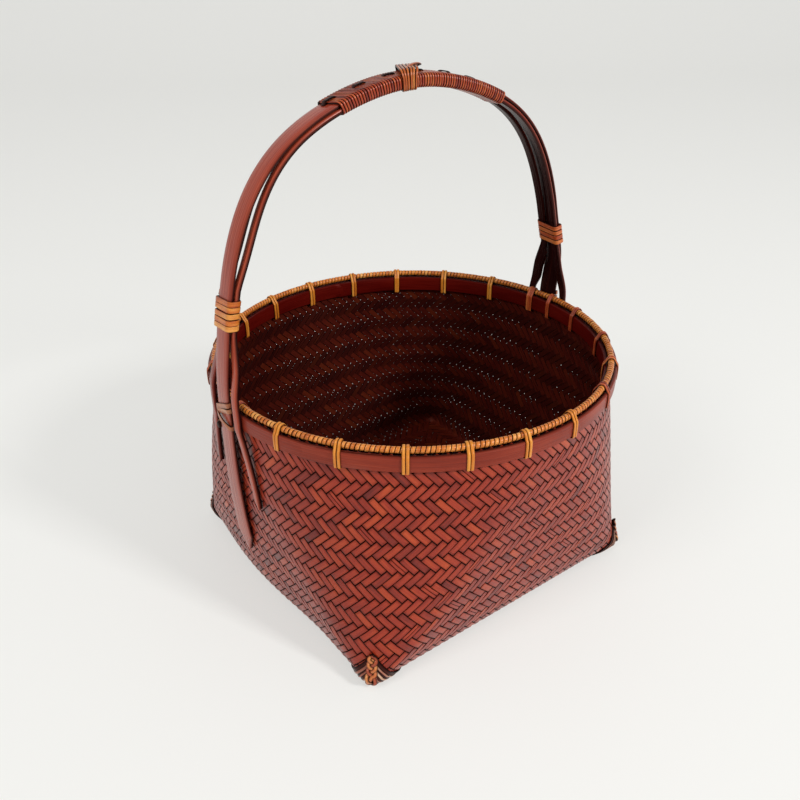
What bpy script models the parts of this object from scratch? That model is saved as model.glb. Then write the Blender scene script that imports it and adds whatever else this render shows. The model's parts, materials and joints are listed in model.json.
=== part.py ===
# Plaited bamboo basket with a square base, a round mouth and a fixed arched handle.
# Metres, +Z up. The origin is the middle of the resting plane, the base's sides run along X and Y,
# and the handle's arch stands in the XZ plane, with its feet at -X (left) and +X (right).
import math

import bmesh
import bpy
from mathutils import Vector

# Woven body
BASE_SIDE = 0.1915
BASE_CORNER_RADIUS = 0.0095
BASE_SHIFT_X = -0.0030
BASE_SHIFT_Y = 0.0010
LEFT_SIDE_BULGE = 0.0050
LEFT_BULGE_Y = 0.0200
BASE_EDGE_RADIUS = 0.0055
BASE_LIFT = 0.0021
WALL_THICKNESS = 0.0016
MOUTH_RADIUS = 0.1122
WALL_TOP = 0.1315
WALL_BULGE = 0.0010
FLARE_POWER = 0.7
WOVEN_ROWS = 12
FIRST_GROOVE_Z = 0.0268
ROW_GROOVE_DEPTH = 0.0006

# Rim
CLEARANCE = 0.0003
OUTER_HOOP_THICKNESS = 0.0024
OUTER_HOOP_HEIGHT = 0.0087
INNER_HOOP_THICKNESS = 0.0024
INNER_HOOP_HEIGHT = 0.0098
CAP_RADIUS = 0.0017
LASHING_THICKNESS = 0.0009
LASHING_WIDTH = 0.0036
WIDE_LASHING_WIDTH = 0.0060
SLIT_LASHING_WIDTH = 0.0020

# Handle strips
ARCH_RADIUS = 0.1104
ARCH_TOP = 0.2778
ARCH_CENTRE_X = -0.0020
ARCH_SHOULDER = 0.0034
ARCH_SPRING_DEGREES = 14
CENTRE_WIDTH = 0.0125
CENTRE_THICKNESS = 0.0022
SIDE_WIDTH = 0.0044
SIDE_THICKNESS = 0.0024
SIDE_SPREAD = 0.0048
LEFT_SIDE_BOW = 0.0026
RIGHT_SIDE_BOW = 0.0006
LEFT_CENTRE_RIM_Y = 0.0018
LEFT_CENTRE_TIP_Y = 0.0082
LEFT_CENTRE_TIP_Z = 0.0335
LEFT_FRONT_RIM_Y = -0.0104
LEFT_FRONT_TIP_Y = -0.0172
LEFT_FRONT_TIP_Z = 0.0780
LEFT_REAR_RIM_Y = 0.0172
LEFT_REAR_TIP_Y = 0.0228
LEFT_REAR_TIP_Z = 0.0880
RIGHT_CENTRE_RIM_Y = 0.0062
RIGHT_CENTRE_TIP_Y = -0.0100
RIGHT_CENTRE_TIP_Z = 0.0335
RIGHT_FRONT_RIM_Y = -0.0070
RIGHT_FRONT_TIP_Y = -0.0240
RIGHT_FRONT_TIP_Z = 0.0700
RIGHT_REAR_RIM_Y = 0.0190
RIGHT_REAR_TIP_Y = 0.0200
RIGHT_REAR_TIP_Z = 0.0730

# Bindings, grip and foot ties
BINDING_DIAMETER = 0.0014
BINDING_PITCH = 0.0030
LEFT_BINDING_LIFT = 0.0042
RIGHT_BINDING_LIFT = 0.0019
LEFT_BINDING_TURNS = 5
RIGHT_BINDING_TURNS = 4
GRIP_DIAMETER = 0.0010
GRIP_START_X = -0.0490
GRIP_END_X = 0.0552
GRIP_TURNS = 18
RUNNER_WIDTH = 0.0030
RUNNER_THICKNESS = 0.0006
KNOT_X = -0.0030
KNOT_WIDTH = 0.0080
KNOT_THICKNESS = 0.0008
KNOT_UNDER_GAP = 0.0040
TAIL_DIAMETER = 0.0016
TAIL_LENGTH = 0.0130
TAIL_RISE = 0.0006
TIE_WIDTH = 0.0024
TIE_THICKNESS = 0.0008
TIE_HEIGHT = 0.0120
TIE_Z = 0.1282
PEG_RADIUS = 0.0019
PEG_LENGTH = 0.0042
PEG_Z = 0.1165

# Base corner lashings
CORNER_REACH = 0.0200
CORNER_RISE = 0.0190
CORNER_UNDER = 0.0130
CORNER_THICKNESS = 0.0018
CORNER_TOP_HALF_WIDTH = 0.0022

# Places round the rim, in degrees from +X towards +Y
LASHING_ANGLES = (-161.3, -144.7, -128.6, -113.7, -98.9, -83.6, -65.5, -49.0, -32.8, -14.1,
                  23.5, 41.1, 58.2, 74.4, 91.0, 107.4, 123.9, 140.4, 157.0)
# Places round one quarter of the outline, in degrees, close together at the corner
QUARTER_ANGLES = (0, 8, 16, 24, 31, 37, 41, 43.6, 46.4, 49, 53, 59, 66, 74, 82)
RING_ANGLES = [math.radians(q * 90 + a) for q in range(4) for a in QUARTER_ANGLES]
# Heights of the lowest rings, which the corner wraps share with the wall, and of the rings inside,
# as shares of the wall from its rounded bottom edge to the hoops
LOW_LEVEL_SHARES = (0.018, 0.05, 0.12, 0.21)
INSIDE_LEVEL_SHARES = (0.1, 0.33, 0.64, 1)
# Heights of a foot's stations, as shares of its way from the tip to the outer hoop
FOOT_LEVEL_SHARES = (0, 0.13, 0.22, 0.33, 0.46, 0.6, 0.74, 0.87)
# Stations of a strip, and where the side strips have come in under the centre strip and drawn together,
# as shares of its way from the rim to the top of the arch
HANDLE_LEVEL_SHARES = (0.03, 0.06, 0.09, 0.12, 0.15, 0.186, 0.205, 0.225, 0.245, 0.265, 0.285, 0.31,
                       0.364, 0.427, 0.491, 0.555, 0.618, 0.682, 0.745, 0.809, 0.873, 0.936)
LAYER_START_SHARE = 0.024
LAYER_END_SHARE = 0.126
DRAWN_IN_SHARE = 0.186
# A foot's slanted point: its length as a share of the foot, and the widths of its tip and of its
# broad end as shares of the strip's width
FOOT_POINT_SHARE = 0.13
CENTRE_TIP_SHARES = (0.12, 1.2)
SIDE_TIP_SHARES = (0.35, 0.9)

HALF_BASE = BASE_SIDE / 2
ARCH_CENTRE_Z = ARCH_TOP - ARCH_RADIUS
HOOP_TOP = WALL_TOP
OUTER_HOOP_INSIDE = MOUTH_RADIUS + CLEARANCE
OUTER_HOOP_OUTSIDE = OUTER_HOOP_INSIDE + OUTER_HOOP_THICKNESS
INNER_HOOP_OUTSIDE = MOUTH_RADIUS - WALL_THICKNESS - CLEARANCE
INNER_HOOP_INSIDE = INNER_HOOP_OUTSIDE - INNER_HOOP_THICKNESS
CAP_MIDDLE_RADIUS = MOUTH_RADIUS - WALL_THICKNESS / 2
CAP_Z = WALL_TOP + CLEARANCE + CAP_RADIUS
OUTER_HOOP_BOTTOM = HOOP_TOP - OUTER_HOOP_HEIGHT
INNER_HOOP_BOTTOM = HOOP_TOP - INNER_HOOP_HEIGHT
FLARE_START = BASE_LIFT + BASE_EDGE_RADIUS
FLARE_END = INNER_HOOP_BOTTOM - CLEARANCE
STRIP_LAYER = CENTRE_THICKNESS / 2 + CLEARANCE + SIDE_THICKNESS / 2
PACK_THICKNESS = CENTRE_THICKNESS + CLEARANCE + SIDE_THICKNESS
PACK_HALF_WIDTH = SIDE_SPREAD + SIDE_WIDTH / 2
ARCH_MIDDLE_RADIUS = ARCH_RADIUS - CENTRE_THICKNESS / 2
ARCH_SPRING = math.radians(ARCH_SPRING_DEGREES)
LEG_FOOT_X = OUTER_HOOP_OUTSIDE + CLEARANCE + CENTRE_THICKNESS / 2
LEG_FOOT_Z = HOOP_TOP + CLEARANCE
SPRING_RADIUS = ARCH_MIDDLE_RADIUS + ARCH_SHOULDER * math.sin(2 * ARCH_SPRING) ** 4
LEG_HEIGHT = ARCH_CENTRE_Z + SPRING_RADIUS * math.sin(ARCH_SPRING) - LEG_FOOT_Z
HANDLE_WAY = LEG_HEIGHT + ARCH_MIDDLE_RADIUS * (math.pi / 2 - ARCH_SPRING)


def clear_scene():
    for ob in list(bpy.data.objects):
        bpy.data.objects.remove(ob, do_unlink=True)


def material(name, colour, roughness):
    mat = bpy.data.materials.get(name) or bpy.data.materials.new(name)
    mat.use_nodes = True
    shader = next(n for n in mat.node_tree.nodes if n.type == "BSDF_PRINCIPLED")
    shader.inputs["Base Color"].default_value = (*colour, 1)
    shader.inputs["Roughness"].default_value = roughness
    shader.inputs["Metallic"].default_value = 0
    return mat


def add_object(name, verts, faces, mat, sharp=35):
    mesh = bpy.data.meshes.new(name)
    mesh.from_pydata([tuple(v) for v in verts], [], faces)
    mesh.update()
    bm = bmesh.new()
    bm.from_mesh(mesh)
    bmesh.ops.recalc_face_normals(bm, faces=bm.faces)
    bm.to_mesh(mesh)
    bm.free()
    mesh.shade_smooth()
    mesh.set_sharp_from_angle(angle=math.radians(sharp))
    mesh.materials.append(mat)
    ob = bpy.data.objects.new(name, mesh)
    bpy.context.scene.collection.objects.link(ob)
    return ob


def smooth(u):
    u = min(max(u, 0), 1)
    return u * u * (3 - 2 * u)


def mix(a, b, u):
    return a + (b - a) * u


# The outline at any height is a square with round corners, which turns into a circle at the mouth.
def outline_distance(half, radius, angle):
    fold = abs((angle + math.pi / 4) % (math.pi / 2) - math.pi / 4)
    flat = half - radius
    if half * math.tan(fold) <= flat:
        return half / math.cos(fold)
    along = flat * (math.cos(fold) + math.sin(fold))
    return along + math.sqrt(max(along * along - 2 * flat * flat + radius * radius, 0))


def wall_share(z):
    """How far up the flaring wall a height is."""
    return min(max((z - FLARE_START) / (FLARE_END - FLARE_START), 0), 1)


def wall_sizes(z):
    s = wall_share(z)
    w = s ** FLARE_POWER
    bulge = WALL_BULGE * 4 * s * (1 - s)
    return mix(HALF_BASE, MOUTH_RADIUS, w) + bulge, mix(BASE_CORNER_RADIUS, MOUTH_RADIUS, w) + bulge


def edge_sizes(turn, offset):
    """Half side, corner radius and height on the rounded bottom edge: turn 0 at the base, 1 at the wall."""
    reach = (BASE_EDGE_RADIUS + offset) * math.sin(turn * math.pi / 2) - BASE_EDGE_RADIUS
    z = BASE_LIFT + BASE_EDGE_RADIUS - (BASE_EDGE_RADIUS + offset) * math.cos(turn * math.pi / 2)
    return HALF_BASE + reach, BASE_CORNER_RADIUS + reach, z


def wall_x(side, y, z, offset):
    """X of the wall's outer face on the left or right side at this y."""
    half, radius = wall_sizes(z)
    centre = outline_centre(z)
    aside = y - centre.y
    past = max(abs(aside) - (half - radius), 0)
    radius += offset
    reach = half + offset - radius + math.sqrt(radius * radius - past * past)
    if side < 0:
        reach += left_bulge(aside, half, z)[0]
    return centre.x + side * reach


def wall_slant(side, y, z):
    """How far the wall's outer face turns aside at this y: the Y part of its level normal."""
    half, radius = wall_sizes(z)
    aside = y - outline_centre(z).y
    slant = math.copysign(max(abs(aside) - (half - radius), 0) / radius, aside)
    if side < 0:
        slant += left_bulge(aside, half, z)[1]
    return slant


def outline_centre(z):
    """The middle of the outline: the base sits a little to one side under the mouth."""
    share = 1 - wall_share(z) ** FLARE_POWER
    return Vector((BASE_SHIFT_X * share, BASE_SHIFT_Y * share, z))


def left_bulge(y, half, z):
    """How far the left side stands out past its straight line, y measured from the middle, and its slope."""
    most = LEFT_SIDE_BULGE * (1 - wall_share(z) ** 2)
    reach = half - LEFT_BULGE_Y
    aside = min(max((y - LEFT_BULGE_Y) / reach, -1), 1)
    return most * (1 - aside ** 2) ** 2, most * 4 * aside * (1 - aside ** 2) / reach


def outline_point(half, radius, z, angle):
    place = Vector((math.cos(angle), math.sin(angle), 0)) * outline_distance(half, radius, angle)
    if place.x < 0:
        place.x -= left_bulge(place.y, half, z)[0]
    return outline_centre(z) + place


def ring(half, radius, z):
    return [outline_point(half, radius, z, a) for a in RING_ANGLES]


def lathe(rings, closed):
    """Vertices and faces through rings of equal length, joined end to end if closed."""
    count = len(rings[0])
    verts = [v for r in rings for v in r]
    faces = []
    last = len(rings) if closed else len(rings) - 1
    for i in range(last):
        a, b = i * count, (i + 1) % len(rings) * count
        faces += [(a + j, a + (j + 1) % count, b + (j + 1) % count, b + j) for j in range(count)]
    if not closed:
        faces.append(tuple(range(count - 1, -1, -1)))
        faces.append(tuple(range((len(rings) - 1) * count, len(rings) * count)))
    return verts, faces


def woven_body(mat):
    """A closed bowl, its wall grooved inward where one row of the plaiting meets the next."""
    rings = []
    for turn in (0, 0.5, 1):
        rings.append(ring(*edge_sizes(turn, 0)))
    for share in LOW_LEVEL_SHARES[:3]:
        z = mix(FLARE_START, FLARE_END, share)
        rings.append(ring(*wall_sizes(z), z))
    for row in range(WOVEN_ROWS):
        groove = mix(FIRST_GROOVE_Z, FLARE_END, row / WOVEN_ROWS)
        crest = mix(FIRST_GROOVE_Z, FLARE_END, (row + 0.5) / WOVEN_ROWS)
        half, radius = wall_sizes(groove)
        rings.append(ring(half - ROW_GROOVE_DEPTH, radius - ROW_GROOVE_DEPTH, groove))
        rings.append(ring(*wall_sizes(crest), crest))
    for z in (FLARE_END, WALL_TOP):
        rings.append(ring(*wall_sizes(z), z))
    levels = [mix(FLARE_START, FLARE_END, share) for share in INSIDE_LEVEL_SHARES] + [WALL_TOP]
    for z in reversed(levels):
        half, radius = wall_sizes(z)
        rings.append(ring(half - WALL_THICKNESS, radius - WALL_THICKNESS, z))
    for turn in (1, 0.5, 0):
        rings.append(ring(*edge_sizes(turn, -WALL_THICKNESS)))
    add_object("woven_body", *lathe(rings, False), mat)


def flat_hoop(name, inside, outside, bottom, top, mat):
    rings = [ring(r, r, z) for r, z in ((inside, bottom), (outside, bottom), (outside, top), (inside, top))]
    add_object(name, *lathe(rings, True), mat)


def rim_cap(mat):
    sides = 6
    rings = []
    for i in range(sides):
        a = math.tau * i / sides
        r = CAP_MIDDLE_RADIUS + CAP_RADIUS * math.cos(a)
        rings.append(ring(r, r, CAP_Z + CAP_RADIUS * math.sin(a)))
    add_object("rim_cap", *lathe(rings, True), mat)


def sweep(name, stations, section, mat):
    """A band through stations of (point, out, across, width, thickness), its section in half sizes."""
    count = len(section)
    verts, faces = [], []
    for point, out, across, width, thickness in stations:
        for across_share, out_share in section:
            verts.append(point + across * (across_share * width / 2) + out * (out_share * thickness / 2))
    for i in range(len(stations) - 1):
        a, b = i * count, (i + 1) * count
        faces += [(a + j, a + (j + 1) % count, b + (j + 1) % count, b + j) for j in range(count)]
    faces.append(tuple(range(count - 1, -1, -1)))
    faces.append(tuple(range((len(stations) - 1) * count, len(stations) * count)))
    return add_object(name, verts, faces, mat, 50)


# Two strands side by side, as shares of the band's half width and half thickness
PAIR_SHARES = ((-1, -1), (-0.9, 0.7), (-0.5, 1), (0, 0.1), (0.5, 1), (0.9, 0.7), (1, -1))
# A bamboo strip with eased edges and a slightly raised outer face
STRIP_SHARES = ((-1, -0.7), (-1, 0.55), (-0.6, 1), (0.6, 1), (1, 0.55), (1, -0.7), (0.7, -1), (-0.7, -1))
BAND_SHARES = ((-1, -1), (-1, 1), (1, 1), (1, -1))


def rim_lashing(name, angle, mat, width=LASHING_WIDTH, outside_width=LASHING_WIDTH):
    """A tie from under the inner hoop, over the cap and down to the foot of the outer hoop."""
    radial = Vector((math.cos(angle), math.sin(angle), 0))
    across = Vector((-math.sin(angle), math.cos(angle), 0))
    up = Vector((0, 0, 1))
    lift = CLEARANCE + LASHING_THICKNESS / 2
    inner, outer = INNER_HOOP_INSIDE - lift, OUTER_HOOP_OUTSIDE + lift
    crown = CAP_Z + CAP_RADIUS + lift
    shoulder_in = mix(inner, CAP_MIDDLE_RADIUS, 0.45)
    shoulder_out = mix(outer, CAP_MIDDLE_RADIUS, 0.45)
    rows = (
        (inner, INNER_HOOP_BOTTOM, -radial, width),
        (inner, HOOP_TOP - CLEARANCE, -radial, width),
        (inner + lift / 4, HOOP_TOP + lift, (up - 2 * radial).normalized(), width),
        (shoulder_in, crown - lift / 2, (2 * up - radial).normalized(), mix(width, outside_width, 0.3)),
        (CAP_MIDDLE_RADIUS, crown, up, mix(width, outside_width, 0.5)),
        (shoulder_out, crown - lift / 2, (2 * up + radial).normalized(), mix(width, outside_width, 0.7)),
        (outer - lift / 4, HOOP_TOP + lift, (up + 2 * radial).normalized(), outside_width),
        (outer, HOOP_TOP - CLEARANCE, radial, outside_width),
        (outer, OUTER_HOOP_BOTTOM, radial, outside_width),
    )
    stations = [(radial * r + up * z, out, across, w, LASHING_THICKNESS) for r, z, out, w in rows]
    sweep(name, stations, PAIR_SHARES, mat)


def foot_stations(side, rim_y, tip_y, tip_z, tip_shares, thickness, width):
    """Stations from the strip's tucked tip up the wall and past the outer hoop, on the left or right side.

    The hoop holds the strip off the wall, so it comes in to the wall bit by bit on its way down.
    """
    stations = []
    drop = OUTER_HOOP_BOTTOM - tip_z
    lift = CLEARANCE + thickness / 2
    outside = OUTER_HOOP_OUTSIDE + lift
    tip_share, broad_share = tip_shares
    for share in FOOT_LEVEL_SHARES:
        pointed = min(share / FOOT_POINT_SHARE, 1)
        past_point = max(share - FOOT_POINT_SHARE, 0) / (1 - FOOT_POINT_SHARE)
        broad = width * mix(broad_share, 1, past_point)
        now = mix(width * tip_share, broad, pointed)
        z = tip_z + drop * share
        y = mix(tip_y, rim_y, share ** 2) - (broad - now) / 2
        x = wall_x(side, y, z, lift + (OUTER_HOOP_OUTSIDE - MOUTH_RADIUS) * share ** 2)
        stations.append((x, y, z, now))
    for z in (OUTER_HOOP_BOTTOM - CLEARANCE, HOOP_TOP + CLEARANCE):
        x = math.sqrt(outside ** 2 - rim_y ** 2)
        stations.append((side * x, rim_y, z, width))
    return stations


def handle_frame(side, way):
    """Distance from the axis, height and lean of the centre strip's middle, a way up from the rim."""
    if way > LEG_HEIGHT:
        angle = ARCH_SPRING + (way - LEG_HEIGHT) / ARCH_MIDDLE_RADIUS
        place = arch_point(angle if side > 0 else math.pi - angle, 0, ARCH_MIDDLE_RADIUS)
        return side * place.x, place.z, angle
    share = way / LEG_HEIGHT
    high_x = side * ARCH_CENTRE_X + SPRING_RADIUS * math.cos(ARCH_SPRING)
    slope = -math.tan(ARCH_SPRING)
    x = mix(LEG_FOOT_X, high_x, smooth(share)) + LEG_HEIGHT * slope * (share ** 3 - share ** 2)
    lean = (high_x - LEG_FOOT_X) / LEG_HEIGHT * 6 * share * (1 - share) + slope * (3 * share ** 2 - 2 * share)
    return x, LEG_FOOT_Z + way, math.atan(-lean)


def handle_point(side, way, rim_y, arch_y, layer, thickness):
    """The middle of a strip, a way up from the rim towards the top of the arch."""
    x, z, lean = handle_frame(side, way)
    share = way / HANDLE_WAY
    under = smooth((share - LAYER_START_SHARE) / (LAYER_END_SHARE - LAYER_START_SHARE))
    depth = mix((CENTRE_THICKNESS - thickness) / 2, layer, under)
    if layer:
        depth += side_bow(side, way)
    drawn = min(share / DRAWN_IN_SHARE, 1)
    y = mix(rim_y, arch_y, drawn ** 1.7 if layer else smooth(drawn))
    x -= (LEG_FOOT_X - math.sqrt(LEG_FOOT_X ** 2 - y ** 2)) * math.cos(lean)
    return side * (x - depth * math.cos(lean)), y, z - depth * math.sin(lean)


def arch_point(angle, y, radius):
    """A point on the arch, whose shoulders stand a little outside its circle."""
    radius += ARCH_SHOULDER * math.sin(2 * angle) ** 4
    return Vector((ARCH_CENTRE_X + radius * math.cos(angle), y, ARCH_CENTRE_Z + radius * math.sin(angle)))


def arch_angle(x):
    return math.acos((x - ARCH_CENTRE_X) / ARCH_RADIUS)


def binding_way(side):
    """Where a leg's binding starts on the way up from the rim, just above where the strips have drawn in."""
    return DRAWN_IN_SHARE * HANDLE_WAY + (LEFT_BINDING_LIFT if side < 0 else RIGHT_BINDING_LIFT)


def side_bow(side, way):
    """How far a side strip stands off the centre strip between the leg's binding and the grip."""
    turns, bow = (LEFT_BINDING_TURNS, LEFT_SIDE_BOW) if side < 0 else (RIGHT_BINDING_TURNS, RIGHT_SIDE_BOW)
    bound = binding_way(side) + turns * BINDING_PITCH + BINDING_DIAMETER
    start = max(LEG_HEIGHT, bound)
    grip = arch_angle(max(-GRIP_START_X, GRIP_END_X)) - math.radians(2)
    end = LEG_HEIGHT + (grip - ARCH_SPRING) * ARCH_MIDDLE_RADIUS
    u = (way - start) / (end - start)
    return bow * math.sin(math.pi * u ** 0.6) ** 2 if 0 < u < 1 else 0


def strip(name, arch_y, layer, width, thickness, left, right, mat):
    """One strip from its left tip over the arch to its right tip."""
    points = foot_stations(-1, *left, thickness, width)
    for share in (*HANDLE_LEVEL_SHARES, 1):
        points.append((*handle_point(-1, share * HANDLE_WAY, left[0], arch_y, layer, thickness), width))
    for share in reversed(HANDLE_LEVEL_SHARES):
        points.append((*handle_point(1, share * HANDLE_WAY, right[0], arch_y, layer, thickness), width))
    points += reversed(foot_stations(1, *right, thickness, width))
    stations = []
    places = [Vector(p[:3]) for p in points]
    for i, place in enumerate(places):
        before, after = places[max(i - 1, 0)], places[min(i + 1, len(places) - 1)]
        along = (after - before).normalized()
        if place.z > ARCH_CENTRE_Z:
            facing = Vector((place.x - ARCH_CENTRE_X, 0, place.z - ARCH_CENTRE_Z))
        else:
            side = math.copysign(1, place.x)
            aside = wall_slant(side, place.y, place.z) * smooth((ARCH_CENTRE_Z - place.z) / CENTRE_WIDTH)
            facing = Vector((side, aside, 0))
        across = along.cross(facing).normalized()
        out = across.cross(along).normalized()
        if out.dot(facing) < 0:
            out.negate()
        stations.append((place, out, across, points[i][3], thickness))
    sweep(name, stations, STRIP_SHARES, mat)


def around_pack(half_width, inner_radius, outer_radius, offset):
    """24 places round the handle's strips as (y, radius), an even distance off their corners."""
    places = []
    y, low, high = half_width, inner_radius, outer_radius
    sides = (
        ((y, high), (-y, high), (0, 1), 4),
        ((-y, high), (-y, low), (-1, 0), 2),
        ((-y, low), (y, low), (0, -1), 4),
        ((y, low), (y, high), (1, 0), 2),
    )
    for start, end, normal, between in sides:
        for k in range(between + 2):
            u = k / (between + 1)
            places.append((
                mix(start[0], end[0], u) + normal[0] * offset,
                mix(start[1], end[1], u) + normal[1] * offset,
            ))
    corners = []
    for i, place in enumerate(places):
        corners.append(place)
        side_end = i in (5, 9, 15, 19)
        if side_end:
            nxt = places[(i + 1) % len(places)]
            corner = {5: (-y, high), 9: (-y, low), 15: (y, low), 19: (y, high)}[i]
            dy, dr = (place[0] + nxt[0]) / 2 - corner[0], (place[1] + nxt[1]) / 2 - corner[1]
            size = math.hypot(dy, dr)
            corners.append((corner[0] + dy / size * offset, corner[1] + dr / size * offset))
    return corners


def winding(name, place, turns, diameter, outer_radius, mat):
    """One unbroken tube wound round the strips; place gives a point by share of its way, y and radius."""
    inner_radius = ARCH_RADIUS - PACK_THICKNESS
    loop = around_pack(PACK_HALF_WIDTH, inner_radius, outer_radius, CLEARANCE + diameter / 2)
    count = len(loop)
    route = []
    for i in range(count * turns + 1):
        y, radius = loop[(i + 3) % count]
        route.append(place(i / (count * turns), y, radius))
    tube(name, route, diameter, mat)
    gap = min(
        (route[i] - route[j]).length
        for i in range(len(route))
        for j in range(i + count // 2, len(route))
    ) - diameter
    print(name, "least gap between turns, mm:", round(gap * 1000, 2))


def tube(name, route, diameter, mat):
    """A round strand along a route, its ends run on straight for one diameter."""
    first = route[0] + (route[0] - route[1]).normalized() * diameter
    last = route[-1] + (route[-1] - route[-2]).normalized() * diameter
    route = [first, *route, last]
    curve = bpy.data.curves.new(name, "CURVE")
    curve.dimensions = "3D"
    curve.bevel_depth = diameter / 2
    curve.bevel_resolution = 1
    curve.use_fill_caps = True
    spline = curve.splines.new("POLY")
    spline.points.add(len(route) - 1)
    for p, place in zip(spline.points, route):
        p.co = (*place, 1)
        p.radius = 1
    spline.use_smooth = True
    curve.materials.append(mat)
    ob = bpy.data.objects.new(name, curve)
    bpy.context.scene.collection.objects.link(ob)
    return ob


def leg_binding(name, side, turns, mat):
    """Turns round a leg's three strips, just above where the side strips part."""
    low = binding_way(side)

    def place(share, y, radius):
        x, z, lean = handle_frame(side, low + share * turns * BINDING_PITCH)
        out = radius - ARCH_MIDDLE_RADIUS
        return Vector((side * (x + out * math.cos(lean)), y, z + out * math.sin(lean)))

    winding(name, place, turns, BINDING_DIAMETER, ARCH_RADIUS, mat)


def grip_winding(mat):
    start, end = arch_angle(GRIP_START_X), arch_angle(GRIP_END_X)

    def place(share, y, radius):
        return arch_point(mix(start, end, share), y, radius)

    winding("grip_winding", place, GRIP_TURNS, GRIP_DIAMETER, ARCH_RADIUS + CLEARANCE + RUNNER_THICKNESS, mat)


def grip_runner(mat):
    radius = ARCH_RADIUS + CLEARANCE + RUNNER_THICKNESS / 2
    start, end = arch_angle(GRIP_START_X), arch_angle(GRIP_END_X)
    stations = []
    steps = 14
    across = Vector((0, 1, 0))
    for i in range(steps + 1):
        angle = mix(start, end, i / steps)
        out = Vector((math.cos(angle), 0, math.sin(angle)))
        stations.append((arch_point(angle, 0, radius), out, across, RUNNER_WIDTH, RUNNER_THICKNESS))
    sweep("grip_runner", stations, BAND_SHARES, mat)


def grip_knot(mat, tail_mat):
    """The band tied over the grip, open underneath, and the tail that lies on it."""
    angle = arch_angle(KNOT_X)
    outer_radius = ARCH_RADIUS + 2 * CLEARANCE + RUNNER_THICKNESS
    inner_radius = ARCH_RADIUS - PACK_THICKNESS
    wound = CLEARANCE + GRIP_DIAMETER
    lift = wound + CLEARANCE + KNOT_THICKNESS / 2
    y, low, high = PACK_HALF_WIDTH, inner_radius, outer_radius
    slant = math.sqrt(0.5)
    half_gap = KNOT_UNDER_GAP / 2
    rows = [
        (half_gap, low - lift, 0, -1),
        (y, low - lift, 0, -1),
        (y + lift * slant, low - lift * slant, slant, -slant),
        (y + lift, low, 1, 0),
        (y + lift, high, 1, 0),
        (y + lift * slant, high + lift * slant, slant, slant),
        (y, high + lift, 0, 1),
    ]
    rows += [(-a, b, -c, d) for a, b, c, d in reversed(rows)]
    along = Vector((-math.sin(angle), 0, math.cos(angle)))
    up = Vector((math.cos(angle), 0, math.sin(angle)))
    stations = [
        (arch_point(angle, a, b), Vector((0, c, 0)) + up * d, along, KNOT_WIDTH, KNOT_THICKNESS)
        for a, b, c, d in rows
    ]
    sweep("grip_knot", stations, BAND_SHARES, mat)
    top = high + lift + KNOT_THICKNESS / 2 + CLEARANCE + TAIL_DIAMETER / 2
    route = []
    for share in (0, 0.15, 0.35, 0.55, 0.75, 0.9, 1):
        place = arch_point(angle, -y * 0.3, top) - along * (TAIL_LENGTH * (share - 0.25))
        place.y += y * 0.9 * share * share
        place.z += TAIL_RISE * math.sin(math.pi * share)
        route.append(place)
    tube("grip_knot_tail", route, TAIL_DIAMETER, tail_mat)


def foot_tie(name, side, rim_y, rise, over, mat):
    """A strand from one slit across the foot's centre strip and into the other slit."""
    half = CENTRE_WIDTH / 2 + CLEARANCE + TIE_THICKNESS
    face = OUTER_HOOP_OUTSIDE + CLEARANCE + CENTRE_THICKNESS + CLEARANCE + TIE_THICKNESS / 2
    deep = OUTER_HOOP_OUTSIDE + 2 * CLEARANCE + LASHING_THICKNESS + TIE_THICKNESS / 2
    lift = TIE_THICKNESS + CLEARANCE if over else 0
    rows = (
        (-half, deep, -1, -1, 0),
        (-half, face - TIE_THICKNESS, -1, -1, 0),
        (-half + TIE_THICKNESS, face, -0.9, -0.4, 1),
        (-TIE_WIDTH, face + lift, -0.3, 0, 1),
        (TIE_WIDTH, face + lift, 0.3, 0, 1),
        (half - TIE_THICKNESS, face, 0.9, 0.4, 1),
        (half, face - TIE_THICKNESS, 1, 1, 0),
        (half, deep, 1, 1, 0),
    )
    stations = []
    for y, distance, climb, sideways, outward in rows:
        z = TIE_Z + climb * rise * TIE_HEIGHT / 2
        place = Vector((side * distance, rim_y + y, z))
        out = Vector((side * outward, sideways, 0)).normalized()
        across = Vector((0, 0, 1))
        stations.append((place, out, across, TIE_WIDTH, TIE_THICKNESS))
    sweep(name, stations, BAND_SHARES, mat)


def foot_peg(mat):
    share = (PEG_Z - LEFT_CENTRE_TIP_Z) / (OUTER_HOOP_BOTTOM - LEFT_CENTRE_TIP_Z)
    strip_y = mix(LEFT_CENTRE_TIP_Y, LEFT_CENTRE_RIM_Y, share ** 2)
    y = strip_y + CENTRE_WIDTH / 2 + 2 * CLEARANCE + PEG_RADIUS
    start = wall_x(-1, y, PEG_Z, CLEARANCE)
    sides = 10
    rings = []
    for length_share, radius_share in ((0, 1), (0.85, 1), (1, 0.7)):
        x, r = start - PEG_LENGTH * length_share, PEG_RADIUS * radius_share
        rings.append([
            Vector((x, y + r * math.cos(math.tau * k / sides), PEG_Z + r * math.sin(math.tau * k / sides)))
            for k in range(sides)
        ])
    add_object("left_foot_peg", *lathe(rings, False), mat)


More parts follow.
